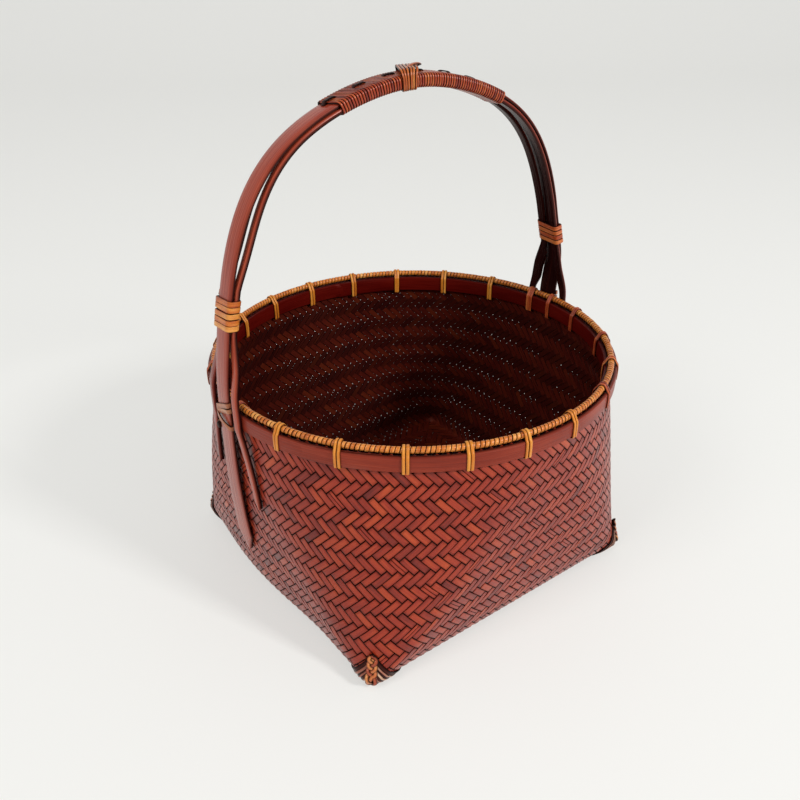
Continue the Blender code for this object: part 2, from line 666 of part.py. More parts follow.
def corner_lashing(name, quarter, mat):
    """A wrap that hugs one base corner, from under the base to a point up the corner."""
    middle = math.pi / 4 + quarter * math.pi / 2
    # Rows from under the base to the top, each as (place, how far it spreads as a share of the reach)
    under = (-1, -0.55, -0.15)
    turns = (0, 0.5, 1)
    levels = [mix(FLARE_START, FLARE_END, share) for share in LOW_LEVEL_SHARES]
    top = FLARE_START + CORNER_RISE - BASE_EDGE_RADIUS
    heights = [z for z in levels if z < top - CORNER_TOP_HALF_WIDTH]
    heights = sorted(heights + [mix(a, b, 0.5) for a, b in zip(heights, heights[1:] + [top])] + [top])
    # The columns keep to the angles of the body's own rings, so that the wrap follows its facets
    near, far = math.radians(QUARTER_ANGLES[8] - 45), math.radians(QUARTER_ANGLES[9] - 45)
    corner = outline_distance(HALF_BASE, BASE_CORNER_RADIUS, math.pi / 4)
    sheets = []
    for offset in (CLEARANCE, CLEARANCE + CORNER_THICKNESS):
        rows = []
        for u in under:
            half, radius, z = edge_sizes(0, offset)
            shrink = -u * CORNER_UNDER
            half, radius = half - shrink, max(radius - shrink, CLEARANCE)
            spread = mix(CORNER_REACH, CORNER_REACH * 0.25, -u)
            rows.append((half, radius, z, spread))
        for turn in turns:
            half, radius, z = edge_sizes(turn, offset)
            rows.append((half, radius, z, mix(CORNER_REACH, CORNER_REACH * 0.85, turn)))
        for z in heights:
            rise = (z - FLARE_START) / (top - FLARE_START)
            half, radius = wall_sizes(z)
            spread = mix(CORNER_TOP_HALF_WIDTH, CORNER_REACH * 0.85, (1 - rise) ** 2.2)
            rows.append((half + offset, radius + offset, z, spread))
        sheet = []
        for half, radius, z, spread in rows:
            line = []
            limit = math.atan2(spread * math.sqrt(0.5), corner - spread * math.sqrt(0.5))
            steps = (min(near, limit * 0.5), min(far, limit * 0.8), limit)
            for turn_aside in (-steps[2], -steps[1], -steps[0], steps[0], steps[1], steps[2]):
                line.append(outline_point(half, radius, z, middle + turn_aside))
            sheet.append(line)
        sheets.append(sheet)
    height, width = len(sheets[0]), len(sheets[0][0])
    verts = [v for sheet in sheets for line in sheet for v in line]

    def at(layer, row, column):
        return (layer * height + row) * width + column

    faces = []
    for i in range(height - 1):
        for j in range(width - 1):
            for k in (0, 1):
                faces.append((at(k, i, j), at(k, i, j + 1), at(k, i + 1, j + 1), at(k, i + 1, j)))
    edge = [(0, j) for j in range(width)] + [(i, width - 1) for i in range(1, height)]
    edge += [(height - 1, j) for j in range(width - 2, -1, -1)] + [(i, 0) for i in range(height - 2, 0, -1)]
    for k, (i, j) in enumerate(edge):
        m, n = edge[(k + 1) % len(edge)]
        faces.append((at(0, i, j), at(0, m, n), at(1, m, n), at(1, i, j)))
    add_object(name, verts, faces, mat)


clear_scene()
weave_mat = material("woven_bamboo", (0.30, 0.060, 0.030), 0.40)
hoop_mat = material("hoop_bamboo", (0.22, 0.045, 0.030), 0.35)
strip_mat = material("handle_bamboo", (0.24, 0.035, 0.018), 0.30)
gold_mat = material("golden_cane", (0.62, 0.30, 0.08), 0.40)
red_mat = material("red_cane", (0.42, 0.10, 0.035), 0.40)
dark_mat = material("dark_peg", (0.05, 0.02, 0.015), 0.50)
corner_mat = material("corner_cane", (0.24, 0.09, 0.04), 0.45)

woven_body(weave_mat)
flat_hoop("rim_outer_hoop", OUTER_HOOP_INSIDE, OUTER_HOOP_OUTSIDE, OUTER_HOOP_BOTTOM, HOOP_TOP, hoop_mat)
flat_hoop("rim_inner_hoop", INNER_HOOP_INSIDE, INNER_HOOP_OUTSIDE, INNER_HOOP_BOTTOM, HOOP_TOP, hoop_mat)
rim_cap(gold_mat)
for number, degrees in enumerate(LASHING_ANGLES, 1):
    rim_lashing(f"rim_lashing_{number:02d}", math.radians(degrees), gold_mat)

strip("handle_centre_strip", 0, 0, CENTRE_WIDTH, CENTRE_THICKNESS,
      (LEFT_CENTRE_RIM_Y, LEFT_CENTRE_TIP_Y, LEFT_CENTRE_TIP_Z, CENTRE_TIP_SHARES),
      (RIGHT_CENTRE_RIM_Y, RIGHT_CENTRE_TIP_Y, RIGHT_CENTRE_TIP_Z, CENTRE_TIP_SHARES), strip_mat)
strip("handle_front_strip", -SIDE_SPREAD, STRIP_LAYER, SIDE_WIDTH, SIDE_THICKNESS,
      (LEFT_FRONT_RIM_Y, LEFT_FRONT_TIP_Y, LEFT_FRONT_TIP_Z, SIDE_TIP_SHARES),
      (RIGHT_FRONT_RIM_Y, RIGHT_FRONT_TIP_Y, RIGHT_FRONT_TIP_Z, SIDE_TIP_SHARES), strip_mat)
strip("handle_rear_strip", SIDE_SPREAD, STRIP_LAYER, SIDE_WIDTH, SIDE_THICKNESS,
      (LEFT_REAR_RIM_Y, LEFT_REAR_TIP_Y, LEFT_REAR_TIP_Z, SIDE_TIP_SHARES),
      (RIGHT_REAR_RIM_Y, RIGHT_REAR_TIP_Y, RIGHT_REAR_TIP_Z, SIDE_TIP_SHARES), strip_mat)

# Lashings in the slits between the centre strip and the side strips
for foot, side, centre_y, front_y, rear_y in (
    ("left", -1, LEFT_CENTRE_RIM_Y, LEFT_FRONT_RIM_Y, LEFT_REAR_RIM_Y),
    ("right", 1, RIGHT_CENTRE_RIM_Y, RIGHT_FRONT_RIM_Y, RIGHT_REAR_RIM_Y),
):
    for place, outer_edge, inner_edge in (
        ("front", front_y + SIDE_WIDTH / 2, centre_y - CENTRE_WIDTH / 2),
        ("rear", rear_y - SIDE_WIDTH / 2, centre_y + CENTRE_WIDTH / 2),
    ):
        y = (outer_edge + inner_edge) / 2
        angle = math.atan2(y, side * math.sqrt(OUTER_HOOP_OUTSIDE ** 2 - y ** 2))
        inside = WIDE_LASHING_WIDTH if place == "rear" else LASHING_WIDTH
        rim_lashing(f"{foot}_foot_lashing_{place}", angle, red_mat, inside, SLIT_LASHING_WIDTH)
    foot_tie(f"{foot}_foot_tie_a", side, centre_y, 1, False, gold_mat)
    foot_tie(f"{foot}_foot_tie_b", side, centre_y, -1, True, gold_mat)
foot_peg(dark_mat)

leg_binding("left_leg_binding", -1, LEFT_BINDING_TURNS, gold_mat)
leg_binding("right_leg_binding", 1, RIGHT_BINDING_TURNS, red_mat)
grip_winding(red_mat)
grip_runner(red_mat)
grip_knot(red_mat, red_mat)
for number, place in enumerate(("back", "left", "front", "right")):
    corner_lashing(f"corner_lashing_{place}", number, corner_mat)
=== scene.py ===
import json
import math

import bmesh
import bpy
import numpy as np
from mathutils import Matrix, Vector

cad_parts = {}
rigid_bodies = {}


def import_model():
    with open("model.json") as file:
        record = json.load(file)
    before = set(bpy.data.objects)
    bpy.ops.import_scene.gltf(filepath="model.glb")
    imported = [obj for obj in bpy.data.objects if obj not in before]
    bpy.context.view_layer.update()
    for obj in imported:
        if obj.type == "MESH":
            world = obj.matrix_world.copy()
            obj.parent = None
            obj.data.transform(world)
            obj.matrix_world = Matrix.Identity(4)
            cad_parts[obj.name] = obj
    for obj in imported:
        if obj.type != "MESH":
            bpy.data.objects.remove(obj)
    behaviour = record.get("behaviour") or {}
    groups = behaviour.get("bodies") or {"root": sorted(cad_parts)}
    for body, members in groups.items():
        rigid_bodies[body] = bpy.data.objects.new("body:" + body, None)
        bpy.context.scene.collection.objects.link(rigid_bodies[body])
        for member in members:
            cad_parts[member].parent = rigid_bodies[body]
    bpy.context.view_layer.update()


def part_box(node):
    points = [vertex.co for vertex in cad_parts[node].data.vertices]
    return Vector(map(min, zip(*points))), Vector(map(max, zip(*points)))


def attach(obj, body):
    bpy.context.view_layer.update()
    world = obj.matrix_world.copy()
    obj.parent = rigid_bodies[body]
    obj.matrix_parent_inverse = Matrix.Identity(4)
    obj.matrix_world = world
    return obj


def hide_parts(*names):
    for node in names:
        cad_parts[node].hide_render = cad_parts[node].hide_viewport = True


for ob in list(bpy.data.objects):
    bpy.data.objects.remove(ob, do_unlink=True)
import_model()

# Woven body: split bamboo plaited on the slant, over three and under three, so that the floats lie in
# level rows that lean left and right by turns. The same splints cross the square base from side to side
# and climb the walls, and some of them have split along the grain.
BASE_SIDE = 0.1915
BASE_CORNER_RADIUS = 0.0095
BASE_SHIFT = (-0.003, 0.001)
BASE_EDGE_RADIUS = 0.0055
BASE_LIFT = 0.0021
LEFT_SIDE_BULGE = 0.005
LEFT_BULGE_Y = 0.02
WALL_THICKNESS = 0.0016
WALL_BULGE = 0.001
FLARE_POWER = 0.7
MOUTH_RADIUS = 0.1122
WALL_TOP = 0.1315
CLEARANCE = 0.0003
SPLINTS_A_SIDE = 34
SPLINT_THICKNESS = 0.0006
SPLINT_LIFT = 0.00036
FLOAT_CROSSINGS = 3
HALF_SIDE = SPLINTS_A_SIDE // 2
FLARE_START = BASE_LIFT + BASE_EDGE_RADIUS
FLARE_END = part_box("rim_inner_hoop")[0].z - CLEARANCE
EDGE_MIDDLE = BASE_EDGE_RADIUS - WALL_THICKNESS / 2
FOLD_REACH = EDGE_MIDDLE * math.pi / 4
FLAT_HALF = BASE_SIDE / 2 - BASE_EDGE_RADIUS
ROUNDED_REACH = 0.02
BASE_PITCH = (FLAT_HALF + FOLD_REACH) / HALF_SIDE


def wall_share(z):
    """How far up the wall these heights lie, from 0 at the base's edge to 1 at the hoops."""
    return np.clip((z - FLARE_START) / (FLARE_END - FLARE_START), 0, 1)


def wall_sizes(z):
    """Half side and corner radius of the body's outer face at these heights."""
    share = wall_share(z)
    flare = share ** FLARE_POWER
    bulge = WALL_BULGE * 4 * share * (1 - share)
    half = BASE_SIDE / 2 + (MOUTH_RADIUS - BASE_SIDE / 2) * flare + bulge
    radius = BASE_CORNER_RADIUS + (MOUTH_RADIUS - BASE_CORNER_RADIUS) * flare + bulge
    return half, radius


def middle_ring(way):
    """Half side, corner radius and height of the middle surface, at a way up from the base's fold."""
    way = np.asarray(way, float)
    turn = np.clip((way + FOLD_REACH) / EDGE_MIDDLE, 0, math.pi / 2)
    inward = np.clip(-FOLD_REACH - way, 0, FLAT_HALF)
    half = FLAT_HALF - inward + EDGE_MIDDLE * np.sin(turn)
    corner = BASE_CORNER_RADIUS - BASE_EDGE_RADIUS + EDGE_MIDDLE * np.sin(turn)
    radius = np.minimum(corner * np.clip(1 - inward / ROUNDED_REACH, 0, 1) ** 2, half * 0.9) + 1e-7
    z = FLARE_START - EDGE_MIDDLE * np.cos(turn)
    up = way > FOLD_REACH
    z = np.where(up, FLARE_START + way - FOLD_REACH, z)
    wall_half, wall_radius = wall_sizes(z)
    half = np.where(up, wall_half - WALL_THICKNESS / 2, half)
    radius = np.where(up, wall_radius - WALL_THICKNESS / 2, radius)
    return half, radius, z


def body_point(quarter, share, way):
    """Places on the middle surface: the side of the basket, -1 to 1 along that side, and the way up."""
    half, radius, z = middle_ring(way)
    flat = half - radius
    reach = share * (flat + radius * math.pi / 4)
    past = np.clip((np.abs(reach) - flat) / radius, 0, math.pi / 4)
    out = flat + radius * np.cos(past)
    aside = np.where(np.abs(reach) <= flat, reach, np.sign(reach) * (flat + radius * np.sin(past)))
    turn = quarter * math.pi / 2
    x = out * np.cos(turn) - aside * np.sin(turn)
    y = out * np.sin(turn) + aside * np.cos(turn)
    rise = wall_share(z)
    inner = np.clip((half + EDGE_MIDDLE) / (BASE_SIDE / 2), 0, 1) ** 2
    most = LEFT_SIDE_BULGE * (1 - rise ** 2) * inner
    along = np.clip((y - LEFT_BULGE_Y) / (half - LEFT_BULGE_Y + 1e-6), -1, 1)
    x = np.where(x < 0, x - most * (1 - along ** 2) ** 2 * np.clip(-x / 0.01, 0, 1), x)
    shift = 1 - rise ** FLARE_POWER
    return np.stack([x + BASE_SHIFT[0] * shift, y + BASE_SHIFT[1] * shift, z], -1)


def climb_table():
    """The way up the wall for each level of crossings, whose pitch follows the splints' own."""
    levels, ways = [0.0], [0.0]
    step = 0.05
    while middle_ring(ways[-1])[2] < WALL_TOP + EDGE_MIDDLE:
        half, radius, _ = middle_ring(ways[-1])
        ways.append(ways[-1] + step * (half - radius * (1 - math.pi / 4)) / HALF_SIDE)
        levels.append(levels[-1] + step)
    return np.array(levels), np.array(ways)


CLIMB_LEVELS, CLIMB_WAYS = climb_table()
TOP_LEVEL = float(np.interp(WALL_TOP - FLARE_START + FOLD_REACH, CLIMB_WAYS, CLIMB_LEVELS)) - 0.2


def lattice_point(side, x, y):
    """Places for points of the unfolded plaiting, whose base reaches from -17 to 17 each way.

    The plane is turned so that this side lies along y = -17, and its wall hangs below that line.
    """
    below, leftward = -HALF_SIDE - y, -HALF_SIDE - x
    on_wall, on_left = below >= 0, (leftward >= 0) & (below < 0)
    level = np.where(on_wall, below, np.where(on_left, leftward, 0))
    across = np.where(on_wall, x, np.where(on_left, -y, 0))
    nearest = np.argmax(np.stack([-y, x, y, -x]), 0)
    depth = HALF_SIDE - np.maximum(np.abs(x), np.abs(y))
    inside = np.choose(nearest, [x, y, -x, -y])
    in_base = ~(on_wall | on_left)
    quarter = side + np.where(on_wall, 0, np.where(on_left, -1, np.choose(nearest, [0, 1, 2, -1])))
    share = np.where(in_base, inside / np.maximum(HALF_SIDE - depth, 0.01), across / HALF_SIDE)
    past = np.floor((share + 1) / 2) * ~in_base
    quarter, share = quarter + past, share - 2 * past
    way = np.where(in_base, -depth * BASE_PITCH, np.interp(level, CLIMB_LEVELS, CLIMB_WAYS))
    return body_point(quarter - 1, share, way)


def unit(rows):
    return rows / np.maximum(np.linalg.norm(rows, axis=-1, keepdims=True), 1e-12)


def lattice_normal(side, x, y):
    """The outward normal of the plaiting at the same points."""
    step = 0.06
    to_right = lattice_point(side, x + step, y) - lattice_point(side, x - step, y)
    to_top = lattice_point(side, x, y + step) - lattice_point(side, x, y - step)
    return unit(np.cross(to_top, to_right))


# A splint that dives under the next one: the step past its last crossing, its lift and its painted shade
# where it slips under
DIVE = ((0.36, 0.92, 0.25), (0.43, 0.35, 1), (0.53, -0.8, 1))
FLOAT_LIFT = 1.35
FLOAT_END_LIFT = 0.95


def splint_rows(line):
    """Where a splint's rows of points lie along it, how far out of the middle (1 over and -1 under), and
    how much painted shade each row gets where the splint dives under the next one and where it lies under.
    """
    first, last = -line - 2 * HALF_SIDE - 2 * TOP_LEVEL, line + 2 * TOP_LEVEL
    crossings = np.arange(math.ceil(first - 0.5) + 0.5, math.floor(last - 0.5) + 1)
    states = []
    for s in crossings:
        second_wall = s >= -HALF_SIDE
        climb = s - line if second_wall else -line - s - 2 * HALF_SIDE
        over = math.floor(climb / FLOAT_CROSSINGS + 1) % 2 == (0 if second_wall else 1)
        states.append(1 if over else -1)
    rows = []
    for k, s in enumerate(crossings):
        inner = 0 < k < len(states) - 1 and states[k - 1] == states[k] == states[k + 1]
        # rows that lie under the crossing splints take full painted shade on top
        rows.append((s, states[k] * (FLOAT_LIFT if inner else FLOAT_END_LIFT), 0 if states[k] > 0 else 1))
        if k + 1 < len(states) and states[k] > states[k + 1]:
            rows += [(s + step, lift, painted_shade) for step, lift, painted_shade in DIVE]
        elif k + 1 < len(states) and states[k] < states[k + 1]:
            rows += [(s + 1 - step, lift, painted_shade) for step, lift, painted_shade in reversed(DIVE)]
    rows = [(first, *rows[0][1:]), *rows, (last, *rows[-1][1:])]
    return np.array(rows, float).T


def both_sides(half):
    """A section from its right half: shares of half the width and half the thickness, and the darkening,
    which is stain and painted shade.
    """
    return np.array([*half, *((-x, y, stain_and_shade) for x, y, stain_and_shade in reversed(half) if x)])


def new_bundle():
    return {"verts": [], "faces": [], "along": [], "across": [], "seed": [], "edge": [], "count": 0}


def add_strand(bundle, verts, along, across, edge, seed, closed=False):
    """Adds a strand: verts are rows of section points, with its fibre coordinates for the material."""
    rows, points = verts.shape[:2]
    index = np.arange(rows * points).reshape(rows, points) + bundle["count"]
    if closed:
        index = np.concatenate([index, index[:1]])
    beside = np.roll(index, -1, axis=1)
    faces = np.stack([index[:-1], beside[:-1], beside[1:], index[1:]], -1)
    bundle["faces"] += faces.reshape(-1, 4).tolist()
    if not closed:
        bundle["faces"] += [index[0][::-1].tolist(), index[-1].tolist()]
    bundle["verts"].append(verts.reshape(-1, 3))
    for key, values in (("along", along[:, None]), ("across", across), ("edge", edge),
                        ("seed", np.reshape(seed, (-1, 1)))):
        bundle[key].append(np.broadcast_to(values, (rows, points)).reshape(-1))
    bundle["count"] += rows * points


def put_in_scene(name, data):
    ob = bpy.data.objects.new(name, data)
    bpy.context.scene.collection.objects.link(ob)
    return ob


def make_piece(name, bundle, mat, node):
    """Turns a bundle of strands into one piece that stands for this node of the frame."""
    mesh = bpy.data.meshes.new(name)
    mesh.from_pydata(np.concatenate(bundle["verts"]).tolist(), [], bundle["faces"])
    for key in ("along", "across", "seed", "edge"):
        data = mesh.attributes.new(key, "FLOAT", "POINT").data
        data.foreach_set("value", np.concatenate(bundle[key]).astype(np.float32))
    mesh.update()
    bm = bmesh.new()
    bm.from_mesh(mesh)
    bmesh.ops.recalc_face_normals(bm, faces=bm.faces)
    bm.to_mesh(mesh)
    bm.free()
    mesh.shade_smooth()
    mesh.set_sharp_from_angle(angle=math.radians(38))
    mesh.materials.append(mat)
    piece = put_in_scene(name, mesh)
    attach(piece, "root")
    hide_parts(node)


def math_node(tree, operation, *values):
    """The output of a new math node, whose values are numbers or other nodes' outputs."""
    node = tree.nodes.new("ShaderNodeMath")
    node.operation = operation
    for socket, value in zip(node.inputs, values):
        if isinstance(value, (int, float)):
            socket.default_value = value
        else:
            tree.links.new(value, socket)
    return node.outputs[0]


def new_material(name):
    mat = bpy.data.materials.new(name)
    mat.use_nodes = True
    shader = next(node for node in mat.node_tree.nodes if node.type == "BSDF_PRINCIPLED")
    return mat, mat.node_tree, shader


def fibre_group():
    """Split cane: fine lines along it, slow changes of colour and a tone of its own for each strand."""
    group = bpy.data.node_groups.new("cane_fibres", "ShaderNodeTree")
    for socket, default in (("Along", 0), ("Across", 0), ("Seed", 0), ("Fibre Width", 0.0003),
                            ("Blotch Length", 0.02)):
        made = group.interface.new_socket(socket, in_out="INPUT", socket_type="NodeSocketFloat")
        made.default_value = default
    for socket in ("Tone", "Fibre", "Blotch"):
        group.interface.new_socket(socket, in_out="OUTPUT", socket_type="NodeSocketFloat")
    nodes, links = group.nodes, group.links
    given, result = nodes.new("NodeGroupInput").outputs, nodes.new("NodeGroupOutput").inputs
    own = math_node(group, "MULTIPLY", given["Seed"], 613)

    def in_steps(coordinate, step, factor):
        share = math_node(group, "DIVIDE", given[coordinate], given[step])
        return math_node(group, "MULTIPLY", share, factor)

    def noise(output, detail, low, high, *place):
        corner = nodes.new("ShaderNodeCombineXYZ")
        for socket, value in zip(corner.inputs, place):
            links.new(value, socket)
        links.new(own, corner.inputs["Z"])
        texture = nodes.new("ShaderNodeTexNoise")
        texture.inputs["Scale"].default_value = 1
        texture.inputs["Detail"].default_value = detail
        links.new(corner.outputs[0], texture.inputs["Vector"])
        spread = nodes.new("ShaderNodeMapRange")
        spread.inputs["From Min"].default_value = low
        spread.inputs["From Max"].default_value = high
        links.new(texture.outputs["Fac"], spread.inputs["Value"])
        links.new(spread.outputs[0], result[output])

    noise("Tone", 0, 0.28, 0.72)
    noise("Fibre", 2, 0.32, 0.68, in_steps("Along", "Fibre Width", 0.018),
          in_steps("Across", "Fibre Width", 1))
    noise("Blotch", 2, 0.3, 0.7, in_steps("Along", "Blotch Length", 1),
          in_steps("Across", "Blotch Length", 3))
    return group


FIBRES = fibre_group()


def cane_material(name, colours, stain_and_shade, roughness, coat, fibre_width=0.0003, blotch_length=0.008,
                  bump=0.00008, gloss=0.22):
    """Lacquered cane: colours run from dark to light by tone, and the edges take a dark colour, partly
    stain and partly painted shade.
    """
    mat, tree, shader = new_material(name)
    nodes, links = tree.nodes, tree.links

    def read(key):
        node = nodes.new("ShaderNodeAttribute")
        node.attribute_type = "GEOMETRY"
        node.attribute_name = key
        return node.outputs["Fac"]

    fibres = nodes.new("ShaderNodeGroup")
    fibres.node_tree = FIBRES
    fibres.inputs["Fibre Width"].default_value = fibre_width
    fibres.inputs["Blotch Length"].default_value = blotch_length
    for key in ("Along", "Across", "Seed"):
        links.new(read(key.lower()), fibres.inputs[key])
    tone, fibre, blotch = (fibres.outputs[key] for key in ("Tone", "Fibre", "Blotch"))
    edge = read("edge")
    shade = math_node(tree, "ADD", math_node(tree, "MULTIPLY", tone, 0.6),
                      math_node(tree, "MULTIPLY", blotch, 0.4))
    lines = math_node(tree, "MULTIPLY", math_node(tree, "SUBTRACT", fibre, 0.5), 0.35)
    ramp = nodes.new("ShaderNodeValToRGB")
    links.new(math_node(tree, "ADD", shade, lines), ramp.inputs[0])
    stops = ramp.color_ramp.elements
    middle = stops.new(0.5)
    for stop, colour in zip((stops[0], middle, stops[-1]), colours):
        stop.color = (*colour, 1)
    mix = nodes.new("ShaderNodeMix")
    mix.data_type = "RGBA"
    # the edge attribute mixes in the dark colour: a little stain, and painted shade in the gaps between
    # strands, where splints dive and on faces turned in
    links.new(math_node(tree, "MULTIPLY", edge, 1.6), mix.inputs["Factor"])
    links.new(ramp.outputs["Color"], mix.inputs["A"])
    mix.inputs["B"].default_value = (*stain_and_shade, 1)
    links.new(mix.outputs["Result"], shader.inputs["Base Color"])
    links.new(math_node(tree, "MULTIPLY_ADD", fibre, 0.12, roughness - 0.06), shader.inputs["Roughness"])
    bumps = nodes.new("ShaderNodeBump")
    bumps.inputs["Distance"].default_value = bump
    links.new(fibre, bumps.inputs["Height"])
    links.new(bumps.outputs["Normal"], shader.inputs["Normal"])
    shader.inputs["Specular IOR Level"].default_value = gloss
    shader.inputs["Specular Tint"].default_value = (1.0, 0.45, 0.35, 1)
    # the lacquer is full on the outer faces, thinner over the edges and hardly there on the inner faces
    lacquer = math_node(tree, "MULTIPLY_ADD", edge, -2 * coat, coat)
    links.new(math_node(tree, "MAXIMUM", lacquer, 0.0), shader.inputs["Coat Weight"])
    shader.inputs["Coat Roughness"].default_value = 0.3
    return mat


SPLINT_BAMBOO = cane_material(
    "splint_bamboo", ((0.12, 0.012, 0.009), (0.31, 0.028, 0.011), (0.46, 0.066, 0.017)),
    stain_and_shade=(0.01, 0.002, 0.002), roughness=0.43, coat=0.5, fibre_width=0.00028, blotch_length=0.016,
    bump=0.00005, gloss=0.16)
# the section's third numbers darken its sides and underside: painted shade in the gaps between floats and
# on the inner face
SPLINT_SECTION = both_sides(((0.6, 1.08, 0), (0.93, 0.92, 0.3), (1, 0.1, 1), (0.92, -1, 0.5)))
HALF_WIDTHS = 0.466, 0.482
MEAN_HALF_WIDTH = 0.48
SPLIT_CHANCE = 0.1
# Darkening of a splint's inner face, by the wall that it climbs, partly stain and mostly painted shade,
# which gives the inside its soft bands of shade
FIRST_WALL_STAIN_AND_SHADE = 0.565
SECOND_WALL_STAIN_AND_SHADE = 0.5
BASE_STAIN_AND_SHADE = 0.4


def weave_pieces():
    rng = np.random.default_rng(7)
    shares, rises, stains_and_shades = SPLINT_SECTION.T
    for side in range(4):
        bundle = new_bundle()
        for number in range(SPLINTS_A_SIDE):
            line = number - HALF_SIDE + 0.5
            rows, lifts, painted_shades = splint_rows(line)
            phase = rng.uniform(0, math.tau, 3)
            wander = 0.01 * np.sin(rows * 0.21 + phase[0]) + 0.006 * np.sin(rows * 0.53 + phase[1])
            width = rng.uniform(*HALF_WIDTHS) * np.where(np.abs(lifts) < 0.9, 0.965, 1.0)
            roll = rng.normal(0, 0.00002) + 0.00002 * np.sin(rows * 0.9 + phase[2])
            # the inner face's painted shade, partly stain, differs from wall to wall
            inner_stain_and_shade = np.where(rows > line, SECOND_WALL_STAIN_AND_SHADE, BASE_STAIN_AND_SHADE)
            inner_stain_and_shade = np.where(rows < -2 * HALF_SIDE - line, FIRST_WALL_STAIN_AND_SHADE, inner_stain_and_shade)
            edge = np.where(rises > 0, np.maximum(stains_and_shades, painted_shades[:, None]), inner_stain_and_shade[:, None])
            split = rng.random() < SPLIT_CHANCE
            for middle, share in ((-0.52, 0.46), (0.5, 0.48)) if split else ((0, 1),):
                aside = width[:, None] * (middle + share * shares)
                a, s = line + wander[:, None] + aside, rows[:, None]
                x, y = (a + s) / 2, -HALF_SIDE + (a - s) / 2
                rise = lifts[:, None] * SPLINT_LIFT + rises * SPLINT_THICKNESS / 2
                rise = rise + roll[:, None] * aside / MEAN_HALF_WIDTH
                verts = lattice_point(side, x, y) + lattice_normal(side, x, y) * rise[..., None]
                along = rows * BASE_PITCH / math.sqrt(2)
                across = shares * share * MEAN_HALF_WIDTH * BASE_PITCH / math.sqrt(2)
                add_strand(bundle, verts, along, across, edge, rng.random())
        make_piece(f"woven_splints_{side + 1}", bundle, SPLINT_BAMBOO, "woven_body")


weave_pieces()

# Rim hoops: two flat bamboo hoops that clamp the cut ends of the splints between them, the outer one
# polished and the inner one darker by painted shade. Each is one bent strip whose scarfed ends overlap.
HOOP_THICKNESS = 0.0024
HOOP_SCARF = 0.35
HOOP_SECTION = both_sides(((0.3, 1.05, 0), (0.86, 0.94, 0), (0.97, 0.55, 0.25), (1, 0, 0.5),
                           (0.97, -0.7, 0.7), (0.8, -1, 0.7)))
HOOP_BAMBOO = cane_material(
    "hoop_bamboo", ((0.13, 0.014, 0.008), (0.23, 0.028, 0.013), (0.36, 0.06, 0.028)),
    stain_and_shade=(0.03, 0.004, 0.003), roughness=0.38, coat=0.15, fibre_width=0.00045, blotch_length=0.045,
    bump=0.00006)
# the inner hoop's colours are the hoop bamboo darkened: painted shade for the inside of the basket
SHADED_INNER_HOOP_BAMBOO = cane_material(
    "shaded_inner_hoop_bamboo", ((0.04, 0.001, 0.001), (0.08, 0.002, 0.001), (0.13, 0.006, 0.003)),
    stain_and_shade=(0.02, 0.001, 0.001), roughness=0.42, coat=0.05, fibre_width=0.00045, blotch_length=0.045,
    bump=0.00006, gloss=0.1)


def smooth_path(points, steps):
    """A denser path through the given rows of numbers, with no corners."""
    points = np.asarray(points, float)
    padded = np.concatenate([[2 * points[0] - points[1]], points, [2 * points[-1] - points[-2]]])
    u = np.linspace(0, 1, steps, endpoint=False)[:, None]
    out = []
    for a, b, c, d in zip(padded, padded[1:], padded[2:], padded[3:]):
        out.append(b + 0.5 * u * (c - a + u * (2 * a - 5 * b + 4 * c - d + u * (3 * (b - c) + d - a))))
    return np.concatenate([*out, points[-1:]])


def add_swept(bundle, points, outs, width, thickness, section, seed, closed=False):
    """A strand along a path, its broad face turned out; width and thickness may change along it."""
    width, thickness = (np.broadcast_to(v, len(points)) for v in (width, thickness))
    if closed:
        tangent = unit(np.roll(points, -1, 0) - np.roll(points, 1, 0))
    else:
        tangent = unit(np.gradient(points, axis=0))
    across = unit(np.cross(tangent, outs))
    out = np.cross(across, tangent)
    aside = section[:, 0] * width[:, None] / 2
    rise = section[:, 1] * thickness[:, None] / 2
    verts = points[:, None] + across[:, None] * aside[..., None] + out[:, None] * rise[..., None]
    along = np.concatenate([[0], np.cumsum(np.linalg.norm(np.diff(points, axis=0), axis=1))])
    add_strand(bundle, verts, along, aside, section[:, 2], seed, closed)


def round_axis(turns, out, up):
    """Places, or facings, at these turns in radians from +X: so far out from the axis and so high up."""
    return np.stack(np.broadcast_arrays(out * np.cos(turns), out * np.sin(turns), up), -1)


def rim_hoops():
    for name, mat, facing, first, seed in (("outer_hoop", HOOP_BAMBOO, 1, 205, 0.21),
                                           ("inner_hoop", SHADED_INNER_HOOP_BAMBOO, -1, 60, 0.68)):
        low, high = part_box("rim_" + name)
        start = math.radians(first)
        turns = np.linspace(start, start + math.tau + HOOP_SCARF, 260)
        ends = np.clip(np.minimum(turns - start, turns[-1] - turns) / HOOP_SCARF, 0.12, 1)
        lapped = np.where(turns - start < math.pi, 1 - ends, ends - 1) * HOOP_THICKNESS / 2
        reach = high.x - HOOP_THICKNESS / 2 + lapped * 0.9 + 0.00008 * np.sin(turns * 7 + seed * 9)
        height = (high.z - low.z) * (1 - 0.012 * (1 + np.sin(turns * 3 + seed * 20)))
        bundle = new_bundle()
        points = round_axis(turns, reach, (low.z + high.z) / 2)
        add_swept(bundle, points, round_axis(turns, facing, 0), height, HOOP_THICKNESS * ends,
                  HOOP_SECTION, seed)
        make_piece(name, bundle, mat, "rim_" + name)


rim_hoops()

